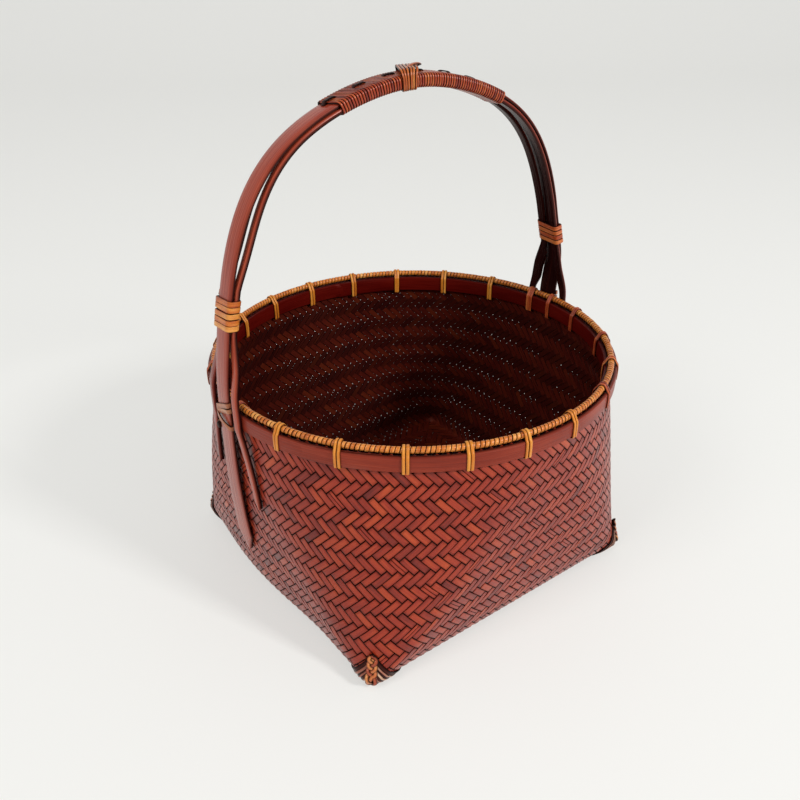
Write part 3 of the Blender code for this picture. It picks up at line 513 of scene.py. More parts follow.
# Rim cap: a round core laid over the cut edge between the hoops and wound close with golden cane,
# about three hundred turns, which leave the core, wholly dark as painted shade, in view between them here
# and there.
CAP_TURNS = 306
CAP_REACH = MOUTH_RADIUS - WALL_THICKNESS / 2
CAP_HEIGHT = (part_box("rim_cap")[0].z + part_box("rim_cap")[1].z) / 2
CAP_RADIUS = 0.0017
CORE_WIDTH = 0.0023
WINDING_REACH = 0.0014
RIM_SECTION = both_sides(((0.78, 1, 0), (0.93, 0.6, 0.5), (1, -0.6, 1), (0.8, -1, 1)))
RIM_CANE = cane_material(
    "rim_cane", ((0.38, 0.08, 0.012), (0.64, 0.185, 0.022), (0.86, 0.42, 0.11)),
    stain_and_shade=(0.06, 0.01, 0.005), roughness=0.3, coat=0.6, fibre_width=0.00035, blotch_length=0.004)


def round_section(points, stain_and_shade):
    turns = np.linspace(0, math.tau, points, endpoint=False)
    return np.stack([np.cos(turns), np.sin(turns), np.full(points, stain_and_shade)], -1)


def rim_cap():
    rng = np.random.default_rng(11)
    core, wound = new_bundle(), new_bundle()
    turns = np.linspace(0, math.tau, 240, endpoint=False)
    # the core takes the full dark edge colour: painted shade in the gaps between the turns
    add_swept(core, round_axis(turns, CAP_REACH, CAP_HEIGHT), round_axis(turns, 1, 0), CORE_WIDTH,
              CORE_WIDTH, round_section(10, 1), 0.3, closed=True)
    make_piece("rim_core", core, HOOP_BAMBOO, "rim_cap")
    each = 14
    steps = np.arange(CAP_TURNS * each)
    turns = steps / len(steps) * math.tau
    roll = steps / each * math.tau
    lift = np.repeat(rng.normal(0, 0.00004, CAP_TURNS), each)
    ridge = 0.00012 * np.exp(-((roll % math.tau - 1.2) / 0.35) ** 2)
    out = WINDING_REACH + lift + ridge
    points = round_axis(turns, CAP_REACH + out * np.cos(roll), CAP_HEIGHT + out * np.sin(roll))
    width = math.tau * CAP_REACH / CAP_TURNS * np.repeat(rng.uniform(0.8, 0.95, CAP_TURNS), each)
    add_swept(wound, points, round_axis(turns, np.cos(roll), np.sin(roll)), width, 0.0005, RIM_SECTION,
              rng.random(CAP_TURNS)[steps // each], closed=True)
    make_piece("rim_winding", wound, RIM_CANE, "rim_cap")


rim_cap()

# Rim lashings: every three or four centimetres two strands of cane go over the cap and both hoops, and
# back through the weave under them. Most are golden, some redder, one is red as painted shade, and the rear
# ones at the feet have three.
LASHING_DEGREES = (-161.3, -144.7, -128.6, -113.7, -98.9, -83.6, -65.5, -49.0, -32.8, -14.1,
                   23.5, 41.1, 58.2, 74.4, 91.0, 107.4, 123.9, 140.4, 157.0)
# the tie at 157 degrees has red cane as painted shade, for it stands in shadow
RED_AND_SHADED_LASHINGS = (-65.5, -49.0, -32.8, -14.1, 157.0)
LASHING_WIDTH = 0.0018
LASHING_THICKNESS = 0.0008
LASHING_LIFT = 0.00045
CANE_SECTION = both_sides(((0, 1, 0), (0.6, 0.8, 0), (0.95, 0.1, 0.4), (1, -0.5, 0.8), (0.7, -1, 1)))
GOLDEN_CANE = cane_material(
    "golden_cane", ((0.44, 0.11, 0.012), (0.68, 0.225, 0.022), (0.84, 0.41, 0.08)),
    stain_and_shade=(0.09, 0.016, 0.005), roughness=0.34, coat=0.45, fibre_width=0.00035, blotch_length=0.012)
RED_CANE = cane_material(
    "red_cane", ((0.2, 0.024, 0.01), (0.44, 0.07, 0.018), (0.66, 0.2, 0.05)),
    stain_and_shade=(0.02, 0.004, 0.003), roughness=0.32, coat=0.45, blotch_length=0.006)


def lashing_rows():
    """A tie's way over the rim, as distance from the axis, height and how far out and up it faces."""
    inner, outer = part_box("rim_inner_hoop"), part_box("rim_outer_hoop")
    inside, outside = inner[1].x - HOOP_THICKNESS - 0.00065, outer[1].x + LASHING_LIFT
    crown = CAP_HEIGHT + CAP_RADIUS + LASHING_LIFT
    return smooth_path([
        (inside + 0.003, inner[0].z - 0.0012, -0.2, -1),
        (inside + 0.0006, inner[0].z - 0.0007, -0.8, -0.6),
        (inside, inner[0].z + 0.0006, -1, 0),
        (inside, inner[1].z - 0.0012, -1, 0),
        (inside + 0.0009, inner[1].z + 0.0008, -0.9, 0.5),
        (CAP_REACH - 0.0014, crown - 0.0004, -0.4, 0.9),
        (CAP_REACH, crown, 0, 1),
        (CAP_REACH + 0.0014, crown - 0.0004, 0.4, 0.9),
        (outside - 0.0009, outer[1].z + 0.0008, 0.9, 0.5),
        (outside, outer[1].z - 0.0012, 1, 0),
        (outside, outer[0].z + 0.001, 1, 0),
        (outside - 0.0006, outer[0].z - 0.0003, 0.8, -0.6),
        (outside - 0.003, outer[0].z - 0.0008, 0.2, -1),
    ], 4).T


def rim_lashing(name, node, degrees, strands, mat, rng, spread=1.0, slant=0.0):
    bundle = new_bundle()
    reach, height, facing_out, facing_up = lashing_rows()
    rise = np.linspace(-1, 1, len(reach))
    for strand in range(strands):
        middle = (strand - (strands - 1) / 2) * LASHING_WIDTH * 1.04 * spread
        aside = middle * (1 - 0.16 * np.abs(rise) ** 4) + (rng.normal(0, 0.00022) + slant) * rise
        turns = math.radians(degrees) + aside / CAP_REACH
        width = LASHING_WIDTH * rng.uniform(0.86, 1.02) * (1 - 0.12 * np.abs(rise) ** 6)
        add_swept(bundle, round_axis(turns, reach, height), round_axis(turns, facing_out, facing_up), width,
                  LASHING_THICKNESS, CANE_SECTION, rng.random())
    make_piece(name, bundle, mat, node)


def rim_lashings():
    rng = np.random.default_rng(23)
    for number, degrees in enumerate(LASHING_DEGREES, 1):
        mat, slot = (RED_CANE, "red_cane") if degrees in RED_AND_SHADED_LASHINGS else (GOLDEN_CANE, "golden_cane")
        rim_lashing(f"rim_tie_{number:02d}", f"rim_lashing_{number:02d}", degrees, 2, mat, rng)
    for foot, edge, strands, slant in (("left", "front", 2, 0), ("left", "rear", 3, 0),
                                       ("right", "front", 2, 0.001), ("right", "rear", 3, 0)):
        node = f"{foot}_foot_lashing_{edge}"
        low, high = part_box(node)
        degrees = math.degrees(math.atan2(low.y + high.y, low.x + high.x))
        rim_lashing(node + "_strands", node, degrees, strands, RED_CANE, rng, 0.8, slant)


rim_lashings()

# Handle strips: three lengths of split bamboo bent over in one arch. The wide one lies on top with its
# skin outside, the narrow ones follow underneath, and their thinned ends are tucked down into the weave.
ARCH_RADIUS = 0.1104
ARCH_TOP = 0.2778
ARCH_CENTRE_X = -0.002
ARCH_SHOULDER = 0.0034
ARCH_SPRING = math.radians(14)
CENTRE_WIDTH, CENTRE_THICKNESS = 0.0125, 0.0022
SIDE_WIDTH, SIDE_THICKNESS, SIDE_SPREAD = 0.0044, 0.0024, 0.0048
ARCH_CENTRE_Z = ARCH_TOP - ARCH_RADIUS
ARCH_MIDDLE_RADIUS = ARCH_RADIUS - CENTRE_THICKNESS / 2
HOOP_OUTSIDE = MOUTH_RADIUS + CLEARANCE + HOOP_THICKNESS
HOOP_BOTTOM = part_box("rim_outer_hoop")[0].z
LEG_FOOT_X = HOOP_OUTSIDE + CLEARANCE + CENTRE_THICKNESS / 2
LEG_FOOT_Z = WALL_TOP + CLEARANCE
SPRING_RADIUS = ARCH_MIDDLE_RADIUS + ARCH_SHOULDER * math.sin(2 * ARCH_SPRING) ** 4
LEG_HEIGHT = ARCH_CENTRE_Z + SPRING_RADIUS * math.sin(ARCH_SPRING) - LEG_FOOT_Z
HANDLE_WAY = LEG_HEIGHT + ARCH_MIDDLE_RADIUS * (math.pi / 2 - ARCH_SPRING)
POINTED_SHARE = 0.13
DRAWN_IN_SHARE = 0.186
BINDING_TURNS = 5, 4
BINDING_PITCH = 0.003
BINDING_WAYS = DRAWN_IN_SHARE * HANDLE_WAY + 0.0042, DRAWN_IN_SHARE * HANDLE_WAY + 0.0019
BOUND_WAYS = [way + turns * BINDING_PITCH + 0.0014 for way, turns in zip(BINDING_WAYS, BINDING_TURNS)]
STRIP_LAYER = CENTRE_THICKNESS / 2 + CLEARANCE + SIDE_THICKNESS / 2
GRIP_START_X, GRIP_END_X = -0.049, 0.0552
STRIP_SECTION = both_sides(((0.4, 1.04, 0), (0.8, 0.92, 0), (0.95, 0.6, 0.2), (1, 0.1, 0.5),
                            (0.98, -0.6, 0.7), (0.86, -0.95, 0.7), (0, -1, 0.6)))
HANDLE_BAMBOO = cane_material(
    "handle_bamboo", ((0.15, 0.016, 0.009), (0.3, 0.036, 0.017), (0.43, 0.078, 0.036)),
    stain_and_shade=(0.016, 0.003, 0.003), roughness=0.28, coat=0.45, fibre_width=0.0006, blotch_length=0.06,
    bump=0.00004)


def ease(u):
    u = np.clip(u, 0, 1)
    return u * u * (3 - 2 * u)


def wall_face(side, y, z, lift):
    """X of the wall's outer face, and how far it turns aside, on the left or right side."""
    half, radius = wall_sizes(z)
    rise = wall_share(z)
    shift = 1 - rise ** FLARE_POWER
    aside = y - BASE_SHIFT[1] * shift
    past = max(abs(aside) - (half - radius), 0)
    reach = half - radius + math.sqrt((radius + lift) ** 2 - past ** 2)
    slant = math.copysign(past / radius, aside)
    if side < 0:
        most = LEFT_SIDE_BULGE * (1 - rise ** 2)
        share = min(max((aside - LEFT_BULGE_Y) / (half - LEFT_BULGE_Y), -1), 1)
        reach += most * (1 - share ** 2) ** 2
        slant += most * 4 * share * (1 - share ** 2) / (half - LEFT_BULGE_Y)
    return BASE_SHIFT[0] * shift + side * reach, slant


def arch_place(angle, y, radius):
    radius = radius + ARCH_SHOULDER * np.sin(2 * angle) ** 4
    return np.stack(np.broadcast_arrays(
        ARCH_CENTRE_X + radius * np.cos(angle), y, ARCH_CENTRE_Z + radius * np.sin(angle)), -1)


def arch_angle(x):
    return math.acos((x - ARCH_CENTRE_X) / ARCH_RADIUS)


def handle_frame(side, way):
    """Distance from the axis, height and lean of the wide strip's middle, a way up from the rim."""
    share = np.clip(way / LEG_HEIGHT, 0, 1)
    high_x = side * ARCH_CENTRE_X + SPRING_RADIUS * math.cos(ARCH_SPRING)
    slope = -math.tan(ARCH_SPRING)
    x = LEG_FOOT_X + (high_x - LEG_FOOT_X) * ease(share) + LEG_HEIGHT * slope * (share ** 3 - share ** 2)
    drift = (high_x - LEG_FOOT_X) / LEG_HEIGHT
    lean = drift * 6 * share * (1 - share) + slope * (3 * share ** 2 - 2 * share)
    angle = ARCH_SPRING + np.maximum(way - LEG_HEIGHT, 0) / ARCH_MIDDLE_RADIUS
    arch = arch_place(angle if side > 0 else math.pi - angle, 0.0, ARCH_MIDDLE_RADIUS)
    high = way > LEG_HEIGHT
    return (np.where(high, side * arch[..., 0], x), np.where(high, arch[..., 2], LEG_FOOT_Z + way),
            np.where(high, angle, np.arctan(-lean)))


def side_bow(side, way):
    """How far the narrow strips stand off the wide one, between the leg's binding and the grip."""
    bow = 0.0026 if side < 0 else 0.0006
    start = max(LEG_HEIGHT, BOUND_WAYS[side > 0])
    end = LEG_HEIGHT + (arch_angle(GRIP_END_X) - math.radians(2) - ARCH_SPRING) * ARCH_MIDDLE_RADIUS
    u = np.clip((way - start) / (end - start), 0, 1)
    return bow * np.sin(math.pi * u ** 0.6) ** 2


def strip_path(arch_y, layer, width, thickness, left, right):
    """Places, facings and widths of a strip from its left tip over the arch to its right tip.

    A foot ends in a slanted point. The outer hoop holds it off the wall, which it nears on its way down.
    """
    places, facings, widths = [], [], []
    for side, (rim_y, tip_y, tip_z, tip_share, broad_share) in ((-1, left), (1, right)):
        part, faces, wide = [], [], []
        lift = CLEARANCE + thickness / 2
        tip = width * tip_share
        for share in (0, 0.025, 0.05, 0.08, 0.105, POINTED_SHARE, *np.linspace(0.17, 0.96, 15)):
            past_point = max(share - POINTED_SHARE, 0) / (1 - POINTED_SHARE)
            broad = width * (broad_share + (1 - broad_share) * past_point)
            now = tip + (broad - tip) * min(share / POINTED_SHARE, 1)
            z = tip_z + (HOOP_BOTTOM - tip_z) * share
            y = tip_y + (rim_y - tip_y) * share ** 2 - (broad - now) * (0.5 if layer else 0.1)
            x, slant = wall_face(side, y, z, lift + (HOOP_OUTSIDE - MOUTH_RADIUS) * share ** 2)
            part.append((x, y, z))
            faces.append((side, slant * (1 - share ** 2), 0))
            wide.append(now)
        hoop_x = side * math.sqrt((HOOP_OUTSIDE + lift) ** 2 - rim_y ** 2)
        for z in np.linspace(HOOP_BOTTOM + 0.001, LEG_FOOT_Z, 5):
            part.append((hoop_x, rim_y, z))
            faces.append((side, rim_y / HOOP_OUTSIDE, 0))
            wide.append(width)
        share = np.concatenate([np.linspace(0.02, 0.3, 24), np.linspace(0.32, 1, 46)])
        way = HANDLE_WAY * share
        x, z, lean = handle_frame(side, way)
        under = ease((share - 0.024) / 0.102)
        depth = (CENTRE_THICKNESS - thickness) / 2 * (1 - under) + layer * under
        drawn = np.minimum(share / DRAWN_IN_SHARE, 1)
        extra = 0 * way
        if layer:
            depth = depth + side_bow(side, way)
            y = rim_y + (arch_y - rim_y) * drawn ** (1.7 if side < 0 else 1.4)
        else:
            y = rim_y + (arch_y - rim_y) * ease(drawn)
        if layer and side > 0:
            extra = (0.0026 if arch_y > 0 else 0.0012) * ease((drawn - 0.06) / 0.3)
            extra = extra * (1 - ease((drawn - 0.75) / 0.2))
            y = y - math.copysign(0.5, arch_y) * extra
        x = x - (LEG_FOOT_X - np.sqrt(LEG_FOOT_X ** 2 - y ** 2)) * np.cos(lean)
        part += np.stack([side * (x - depth * np.cos(lean)), y, z - depth * np.sin(lean)], -1).tolist()
        faces += np.stack([side * np.cos(lean), y / HOOP_OUTSIDE * (1 - drawn), np.sin(lean)], -1).tolist()
        wide += (width + extra).tolist()
        if side > 0:
            part, faces, wide = part[-2::-1], faces[-2::-1], wide[-2::-1]
        places += part
        facings += faces
        widths += wide
    return np.array(places), unit(np.array(facings)), np.array(widths)


# Each strip's Y and layer at the arch, width and thickness, and for its left and right foot the Y at the
# rim, the tip's Y and Z, and the tip's and the foot's width as shares of the strip's
STRIPS = {
    "handle_centre": (0, 0, CENTRE_WIDTH, CENTRE_THICKNESS,
                      (0.0018, 0.0082, 0.0335, 0.12, 1.2), (0.0062, -0.01, 0.0335, 0.12, 1.2)),
    "handle_front": (-SIDE_SPREAD, STRIP_LAYER, SIDE_WIDTH, SIDE_THICKNESS,
                     (-0.0104, -0.0172, 0.078, 0.35, 0.9), (-0.007, -0.024, 0.07, 0.35, 0.9)),
    "handle_rear": (SIDE_SPREAD, STRIP_LAYER, SIDE_WIDTH, SIDE_THICKNESS,
                    (0.0172, 0.0228, 0.088, 0.35, 0.9), (0.019, 0.02, 0.073, 0.35, 0.9)),
}


def handle_strips():
    for number, (name, values) in enumerate(STRIPS.items()):
        places, facings, widths = strip_path(*values)
        keep = np.concatenate([[True], np.linalg.norm(np.diff(places, axis=0), axis=1) > 0.0004])
        bundle = new_bundle()
        add_swept(bundle, places[keep], facings[keep], widths[keep], values[3], STRIP_SECTION,
                  0.17 + 0.31 * number)
        make_piece(name + "_bamboo", bundle, HANDLE_BAMBOO, name + "_strip")


handle_strips()

# Leg bindings and grip: flat cane wound round the three strips. Five golden turns hold the left leg, four
# red ones the right leg, and about seventy close turns make the grip, with a runner along its top.
PACK_THICKNESS = CENTRE_THICKNESS + CLEARANCE + SIDE_THICKNESS
PACK_HALF_WIDTH = SIDE_SPREAD + SIDE_WIDTH / 2
PACK_CORNER = 0.0012
GRIP_TURNS = 68
GRIP_CANE_WIDTH = (GRIP_END_X - GRIP_START_X) * 1.08 / GRIP_TURNS * 0.9
GRIP_TOP = ARCH_RADIUS + 0.0002
GRIP_SLANT = 0.002
KNOT_X = -0.003
KNOT_SLANT = 0.0036
WIND_SECTION = both_sides(((0.3, 1, 0), (0.8, 0.6, 0.5), (1, -0.4, 1), (0.6, -1, 1)))
GRIP_CANE = cane_material(
    "grip_cane", ((0.11, 0.01, 0.006), (0.35, 0.038, 0.01), (0.6, 0.15, 0.03)),
    stain_and_shade=(0.006, 0.001, 0.001), roughness=0.26, coat=0.6, blotch_length=0.005)
KNOT_CANE = cane_material(
    "knot_cane", ((0.28, 0.04, 0.01), (0.48, 0.11, 0.02), (0.74, 0.33, 0.07)),
    stain_and_shade=(0.02, 0.003, 0.002), roughness=0.28, coat=0.5, blotch_length=0.006)
BINDING_CANE = cane_material(
    "binding_cane", ((0.34, 0.055, 0.01), (0.58, 0.145, 0.018), (0.8, 0.37, 0.08)),
    stain_and_shade=(0.06, 0.01, 0.004), roughness=0.32, coat=0.5, fibre_width=0.00035)
# near-black cane as painted shade: the slots along the grip's runner and the gaps between the corner fans
PAINTED_SHADE_CANE = cane_material(
    "painted_shade_cane", ((0.012, 0.003, 0.003), (0.04, 0.008, 0.006), (0.11, 0.022, 0.014)),
    stain_and_shade=(0.004, 0.001, 0.001), roughness=0.4, coat=0.1, blotch_length=0.01, gloss=0.1)


def pack_loop(top, lift, each):
    """Places (y, radius) and facings round the strips, an even distance off them, with round corners."""
    half, high = PACK_HALF_WIDTH - PACK_CORNER, top - PACK_CORNER
    low = ARCH_RADIUS - PACK_THICKNESS + PACK_CORNER
    rows = []
    for y, radius, first in ((half, high, 0), (-half, high, 90), (-half, low, 180), (half, low, 270)):
        for a in np.radians(np.linspace(first, first + 90, 5)):
            cosine, sine = math.cos(a), math.sin(a)
            rows.append((y + (PACK_CORNER + lift) * cosine, radius + (PACK_CORNER + lift) * sine,
                         cosine, sine))
    columns = np.array([*rows, rows[0]]).T
    ways = np.concatenate([[0], np.cumsum(np.hypot(np.diff(columns[0]), np.diff(columns[1])))])
    even = np.linspace(0, ways[-1], each, endpoint=False)
    y, radius, *facing = (np.interp(even, ways, column) for column in columns)
    return y, radius, np.stack(facing, -1)


def arch_facing(angle, facing):
    """Facings round the arch, from their parts across the strips and out from them at this angle."""
    return np.stack([facing[:, 1] * np.cos(angle), facing[:, 0], facing[:, 1] * np.sin(angle)], -1)


def grip_turns(rng):
    """Turns of flat cane round the arch, as one strand that leans most at its start."""
    start, end = arch_angle(GRIP_START_X) - 0.012, arch_angle(GRIP_END_X)
    each = 36
    y, radius, facing = pack_loop(GRIP_TOP, 0.0004, each)
    steps = np.arange(GRIP_TURNS * each + 1)
    shift = rng.normal(0, 0.05, GRIP_TURNS + 2)
    share = (steps / each + np.interp(steps / each, np.arange(GRIP_TURNS + 2), shift)) / GRIP_TURNS
    k = (steps + 4) % each
    angle = start + (end - start) * np.clip(share, 0, 1)
    angle = angle + GRIP_SLANT * (1 - share) * y[k] / PACK_HALF_WIDTH / ARCH_RADIUS
    bundle = new_bundle()
    add_swept(bundle, arch_place(angle, y[k], radius[k]), arch_facing(angle, facing[k]), GRIP_CANE_WIDTH,
              0.001, WIND_SECTION, rng.random(GRIP_TURNS + 1)[steps // each])
    make_piece("grip_turns", bundle, GRIP_CANE, "grip_winding")


def grip_runner():
    """A dark strand of painted shade along the top of the arch, six times over the turns and under them
    again.
    """
    angle = np.linspace(arch_angle(GRIP_START_X) + 0.01, arch_angle(GRIP_END_X) - 0.01, 160)
    weave = np.sin(np.linspace(0, math.tau * 6.5, 160))
    points = arch_place(angle, 0.0009, ARCH_RADIUS + CLEARANCE + 0.0013 * ease((weave - 0.1) * 1.8))
    outs = np.stack([np.cos(angle), 0 * angle, np.sin(angle)], -1)
    bundle = new_bundle()
    add_swept(bundle, points, outs, 0.003, 0.0006, WIND_SECTION, 0.1)
    make_piece("grip_runner_cane", bundle, PAINTED_SHADE_CANE, "grip_runner")


def grip_knot(rng):
    """A band of six strands round the grip, and its end, which loops back over the turns beside it."""
    band, tail = new_bundle(), new_bundle()
    middle = arch_angle(KNOT_X)
    each = 44
    y, radius, facing = pack_loop(GRIP_TOP, 0.0013, each)
    k = np.arange(each + 1) % each
    outward = np.clip(facing[k, 1], 0, 1)
    for strand in range(6):
        aside = (strand - 2.5) * 0.00145 * (1 + 0.3 * outward) + rng.normal(0, 0.0001)
        angle = middle + (aside - KNOT_SLANT * y[k] / PACK_HALF_WIDTH) / ARCH_RADIUS
        points = arch_place(angle, y[k], radius[k] + 0.002 * outward ** 0.5)
        add_swept(band, points, arch_facing(angle, facing[k]), 0.0015, 0.0009, WIND_SECTION, rng.random())
    make_piece("grip_knot_band", band, KNOT_CANE, "grip_knot")
    ahead, y, up = smooth_path([
        (-0.004, -0.003, 0.0026), (-0.001, -0.002, 0.0034), (0.0035, 0.0, 0.0042), (0.008, 0.002, 0.004),
        (0.0105, 0.0036, 0.0032), (0.009, 0.005, 0.0024), (0.006, 0.0052, 0.0022)], 6).T
    origin = arch_place(middle, 0.0, ARCH_RADIUS)
    sine, cosine = math.sin(middle), math.cos(middle)
    points = origin + np.stack([ahead * sine + up * cosine, y, up * sine - ahead * cosine], -1)
    outs = np.broadcast_to((cosine, 0, sine), points.shape)
    add_swept(tail, points, outs, 0.0022, 0.001, CANE_SECTION, 0.8)
    make_piece("grip_knot_end", tail, KNOT_CANE, "grip_knot_tail")


def leg_bindings(rng):
    each = 40
    y, radius, facing = pack_loop(ARCH_RADIUS, 0.0005, each)
    for foot, side, width, mat, slot in (("left", -1, 0.0029, BINDING_CANE, "golden_cane"),
                                         ("right", 1, 0.0028, RED_CANE, "red_cane")):
        turns = BINDING_TURNS[side > 0]
        steps = np.arange(turns * each + 1)
        k = steps % each
        sway = np.interp(steps / each, np.arange(turns + 1), rng.normal(0, 0.00022, turns + 1))
        x, z, lean = handle_frame(side, BINDING_WAYS[side > 0] + steps / each * BINDING_PITCH + sway)
        out = radius[k] - ARCH_MIDDLE_RADIUS
        points = np.stack([side * (x + out * np.cos(lean)), y[k], z + out * np.sin(lean)], -1)
        outs = arch_facing(lean, facing[k]) * (side, 1, 1)
        bundle = new_bundle()
        add_swept(bundle, points, outs, width, 0.0009, RIM_SECTION, 0.2 + 0.11 * (steps // each % 7))
        make_piece(f"{foot}_binding_turns", bundle, mat, f"{foot}_leg_binding")


WINDING_RNG = np.random.default_rng(31)
grip_turns(WINDING_RNG)
grip_runner()
grip_knot(WINDING_RNG)
leg_bindings(WINDING_RNG)

# Foot ties and peg: where the wide strip passes the hoops, two strands come out of one slit, cross over the
# strip and go back into the other. On the left foot a dark bamboo peg beside the strip wedges them.
FOOT_MIDDLE_Z = 0.1282
# Each tie's strands: height at the strip's front edge and at its rear edge, and how far they stand off it
FOOT_TIES = (("upper", "a", ((0.0072, 0.0014, 0.0), (0.0038, -0.001, 0.0))),
             ("lower", "b", ((-0.0064, -0.0012, 0.0009),)))
DARK_BAMBOO = cane_material(
    "dark_bamboo", ((0.016, 0.007, 0.005), (0.035, 0.014, 0.009), (0.06, 0.024, 0.014)),
    stain_and_shade=(0.01, 0.004, 0.003), roughness=0.45, coat=0.15, fibre_width=0.0004, blotch_length=0.01,
    gloss=0.1)
TIE_CANE = cane_material(
    "tie_cane", ((0.2, 0.045, 0.02), (0.42, 0.14, 0.06), (0.62, 0.33, 0.18)),
    stain_and_shade=(0.03, 0.006, 0.004), roughness=0.34, coat=0.45)


def foot_ties():
    face = HOOP_OUTSIDE + CLEARANCE + CENTRE_THICKNESS + LASHING_LIFT
    deep = HOOP_OUTSIDE + 0.0014
    half = CENTRE_WIDTH / 2 + 0.0007
    for foot, side in (("left", -1), ("right", 1)):
        rim_y = STRIPS["handle_centre"][4 if side < 0 else 5][0]
        for name, letter, strands in FOOT_TIES:
            bundle = new_bundle()
            for number, (front_z, rear_z, lift) in enumerate(strands):
                y, reach, facing_y, facing_out = smooth_path([
                    (-half, deep, -1, 0.1), (-half, face - 0.0011, -1, 0.2),
                    (-half + 0.0007, face, -0.5, 0.9), (-0.002, face + lift, 0, 1),
                    (0.002, face + lift, 0, 1), (half - 0.0007, face, 0.5, 0.9),
                    (half, face - 0.0011, 1, 0.2), (half, deep, 1, 0.1)], 4).T
                share = np.clip((y + half) / (2 * half), 0, 1)
                z = FOOT_MIDDLE_Z + front_z + (rear_z - front_z) * share
                points = np.stack([side * reach, rim_y + y, z], -1)
                outs = unit(np.stack([side * facing_out, facing_y, 0 * y], -1))
                add_swept(bundle, points, outs, 0.0028, LASHING_THICKNESS, RIM_SECTION, 0.15 + 0.4 * number)
            node = f"{foot}_foot_tie_{letter}"
            make_piece(f"{foot}_foot_tie_{name}", bundle, TIE_CANE, node)


def left_peg():
    """The peg's rounded end stands a little out, and a strand is looped round it."""
    low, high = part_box("left_foot_peg")
    middle, radius = (low + high) / 2, (high.z - low.z) / 2
    peg, loop = new_bundle(), new_bundle()
    x = np.array([high.x, low.x - 0.0006, low.x - 0.001, low.x - 0.0012])
    points = np.stack([x, 0 * x + middle.y, 0 * x + middle.z], -1)
    size = 2 * radius * np.array([1, 1, 0.9, 0.66])
    outs = np.broadcast_to((0, 0, 1.0), points.shape)
    add_swept(peg, points, outs, size, size, round_section(14, 0.3), 0.6)
    make_piece("left_peg", peg, DARK_BAMBOO, "left_foot_peg")
    turn = np.linspace(0, math.tau * 1.8, 60)
    outs = np.stack([0 * turn, np.cos(turn), np.sin(turn)], -1)
    points = outs * (radius + 0.0004) + np.array([0, middle.y, middle.z])
    points[:, 0] = low.x + 0.0004 + 0.0011 * turn / math.tau
    add_swept(loop, points, outs, 0.0011, 0.0007, WIND_SECTION, 0.9)
    make_piece("left_peg_loop", loop, GOLDEN_CANE, "left_foot_peg")


foot_ties()
left_peg()

# Corner lashings: the basket stands on four plaited wraps of flat cane. On each corner three strands make a
# plait up the edge, and from under it narrow strands fan out over both walls and run back under the base,
# with dark strands in the gaps between them as painted shade.
PLAIT_TOP, PLAIT_END = 0.0168, -0.0085
PLAIT_PITCH = 0.0105
FAN_TOP = 0.0137
FAN_STEP = 0.0034
FAN_REACH = 0.0215
CORNER_CANE = cane_material(
    "corner_cane", ((0.16, 0.03, 0.018), (0.38, 0.13, 0.08), (0.64, 0.4, 0.26)),
    stain_and_shade=(0.01, 0.003, 0.003), roughness=0.34, coat=0.45, fibre_width=0.0004, bump=0.0001)
PLAIT_CANE = cane_material(
    "plait_cane", ((0.3, 0.045, 0.02), (0.52, 0.125, 0.038), (0.74, 0.34, 0.1)),
    stain_and_shade=(0.012, 0.004, 0.003), roughness=0.32, coat=0.5, fibre_width=0.0004, blotch_length=0.006,
    bump=0.0001)


def on_corner(corner, aside, way, lift):
    """Places and facings on the body's face, measured aside from a corner and up from the base's fold."""
    half, radius, _ = middle_ring(way)
    length = half - radius * (1 - math.pi / 4)

    def place(side_shift, up_shift):
        share = 1 + (aside + side_shift) / length
        turned = share > 1
        return body_point(corner + turned, np.where(turned, share - 2, share), way + up_shift)

    step = 0.0004
    facing = unit(np.cross(place(step, 0) - place(-step, 0), place(0, step) - place(0, -step)))
    return place(0, 0) + facing * lift[:, None], facing


def fan_strand(bundle, corner, hand, top, lift, width, seed):
    """A strand from under the plait, steep at first, that flattens out and turns in under the base."""
    fall = np.linspace(0, top - PLAIT_END, 26)
    aside = hand * FAN_REACH * np.tanh((0.001 + 0.55 * fall + 35 * fall ** 2) / FAN_REACH)
    under = np.clip(-(top - fall) / 0.004, 0, 1)
    points, facing = on_corner(corner, aside, top - fall, lift + 0.0007 * under)
    add_swept(bundle, points, facing, width, 0.0009, WIND_SECTION, seed)


def corner_wraps():
    rng = np.random.default_rng(41)
    for corner, place in enumerate(("back", "left", "front", "right")):
        pale, painted_shade, plait = new_bundle(), new_bundle(), new_bundle()
        for hand in (-1, 1):
            for number in range(6):
                top = FAN_TOP - FAN_STEP * number
                # the dark strands between the fans are painted shade
                fan_strand(painted_shade, corner, hand, top, 0.0012, 0.003, rng.random())
                if number < 5:
                    fan_strand(pale, corner, hand, top - FAN_STEP / 2 + rng.normal(0, 0.0002), 0.0017,
                               rng.uniform(0.0013, 0.0019), rng.random())
        for strand in range(3):
            way = np.linspace(PLAIT_TOP - 0.0011 * strand, PLAIT_END, 90)
            swing = way / PLAIT_PITCH * math.tau + strand * math.tau / 3
            taper = ease((PLAIT_TOP + 0.001 - way) / 0.004)
            under = np.clip(-way / 0.004, 0, 1)
            lift = 0.0023 - 0.0004 * under + (0.0005 - 0.0001 * under) * np.sin(2 * swing)
            points, facing = on_corner(corner, 0.0018 * taper * np.sin(swing), way, lift)
            add_swept(plait, points, facing, 0.0024 * (0.5 + 0.5 * taper), 0.0011, WIND_SECTION,
                      0.11 + 0.31 * strand)
        for name, bundle, mat in (("fan", pale, CORNER_CANE), ("painted_shade_fan", painted_shade, PAINTED_SHADE_CANE),
                                  ("plait", plait, PLAIT_CANE)):
            make_piece(f"corner_{name}_{place}", bundle, mat, f"corner_lashing_{place}")


corner_wraps()

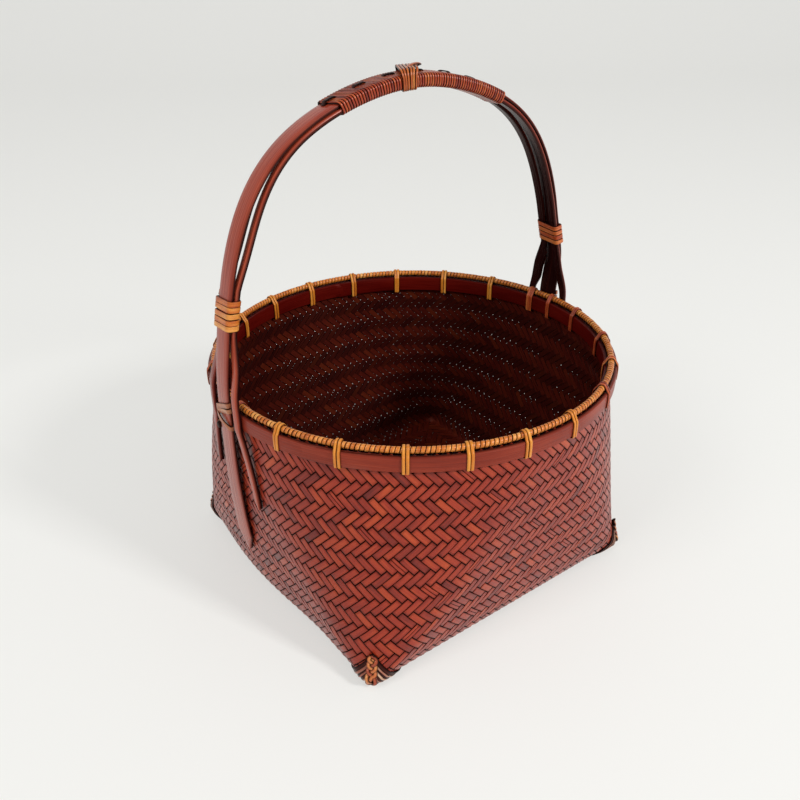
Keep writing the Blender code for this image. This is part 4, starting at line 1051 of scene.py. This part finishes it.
# The place where the basket stands for its picture: a pale floor that turns up into a backdrop, a large
# soft lamp on either side, and the camera at the photograph's angle.
FLOOR_COLOUR = (0.8, 0.8, 0.775, 1)
SEEN_FLOOR_COLOUR = (0.42, 0.42, 0.405, 1)
SEEN_FLOOR_GLOW = 0.49
ROOM_LIGHT = 0.47


def floor_and_backdrop():
    bm = bmesh.new()
    half, front, turn, height, radius = 3.0, -2.0, 1.9, 3.0, 0.8
    bend = np.linspace(0, math.pi / 2, 13).tolist()
    profile = [(front, 0), *((turn + radius * math.sin(a), radius * (1 - math.cos(a))) for a in bend),
               (turn + radius, height)]
    rows = [[bm.verts.new((side * half, y, z)) for side in (-1, 1)] for y, z in profile]
    for low, high in zip(rows, rows[1:]):
        bm.faces.new((low[0], low[1], high[1], high[0]))
    mesh = bpy.data.meshes.new("floor")
    bm.to_mesh(mesh)
    bm.free()
    mesh.shade_smooth()
    mat, tree, shader = new_material("pale_floor")
    shader.inputs["Roughness"].default_value = 0.9
    shader.inputs["Specular IOR Level"].default_value = 0.1
    rays = tree.nodes.new("ShaderNodeLightPath").outputs
    seen = math_node(tree, "MAXIMUM", rays["Is Camera Ray"], rays["Is Glossy Ray"])
    seen = math_node(tree, "MAXIMUM", seen, rays["Is Transmission Ray"])
    tint = tree.nodes.new("ShaderNodeMix")
    tint.data_type = "RGBA"
    tree.links.new(seen, tint.inputs["Factor"])
    tint.inputs["A"].default_value = FLOOR_COLOUR
    tint.inputs["B"].default_value = SEEN_FLOOR_COLOUR
    tree.links.new(tint.outputs["Result"], shader.inputs["Base Color"])
    shader.inputs["Emission Color"].default_value = (1.0, 1.0, 0.97, 1)
    tree.links.new(math_node(tree, "MULTIPLY", seen, SEEN_FLOOR_GLOW), shader.inputs["Emission Strength"])
    mesh.materials.append(mat)
    floor = put_in_scene("floor", mesh)
    floor.rotation_euler.z = math.radians(-36)


def lamp(name, place, size, energy):
    """A square lamp that looks at the middle of the basket."""
    data = bpy.data.lights.new(name, "AREA")
    data.shape = "SQUARE"
    data.size = size
    data.energy = energy
    ob = put_in_scene(name, data)
    ob.location = place
    ob.rotation_euler = (Vector((0, 0, 0.1)) - Vector(place)).to_track_quat("-Z", "Y").to_euler()


def photograph_camera():
    azimuth, elevation, roll = (math.radians(v) for v in (-36.216, 29.877, -0.528))
    distance = 0.47867
    target = Vector((-0.00514, 0.00496, 0.09514))
    back = Vector((math.sin(azimuth) * math.cos(elevation), -math.cos(azimuth) * math.cos(elevation),
                   math.sin(elevation)))
    right = (-back).cross(Vector((0, 0, 1))).normalized()
    up = back.cross(right)
    level, lean = math.cos(roll), math.sin(roll)
    right, up = level * right + lean * up, level * up - lean * right
    data = bpy.data.cameras.new("camera")
    data.lens = 35.99
    data.sensor_width = 36
    data.clip_start = 0.01
    camera = put_in_scene("camera", data)
    camera.matrix_world = Matrix((right, up, back)).transposed().to_4x4()
    camera.location = target + back * distance
    bpy.context.scene.camera = camera


floor_and_backdrop()
lamp("right_lamp", (0.5, -1.5, 1.1), size=0.3, energy=20)
lamp("left_lamp", (-1.5, -0.2, 1.3), size=0.7, energy=11)
world = bpy.data.worlds.new("room")
bpy.context.scene.world = world
world.use_nodes = True
backdrop = next(node for node in world.node_tree.nodes if node.type == "BACKGROUND")
backdrop.inputs["Color"].default_value = (1.0, 1.0, 1.0, 1)
backdrop.inputs["Strength"].default_value = ROOM_LIGHT
bpy.context.scene.view_settings.view_transform = "Standard"
photograph_camera()
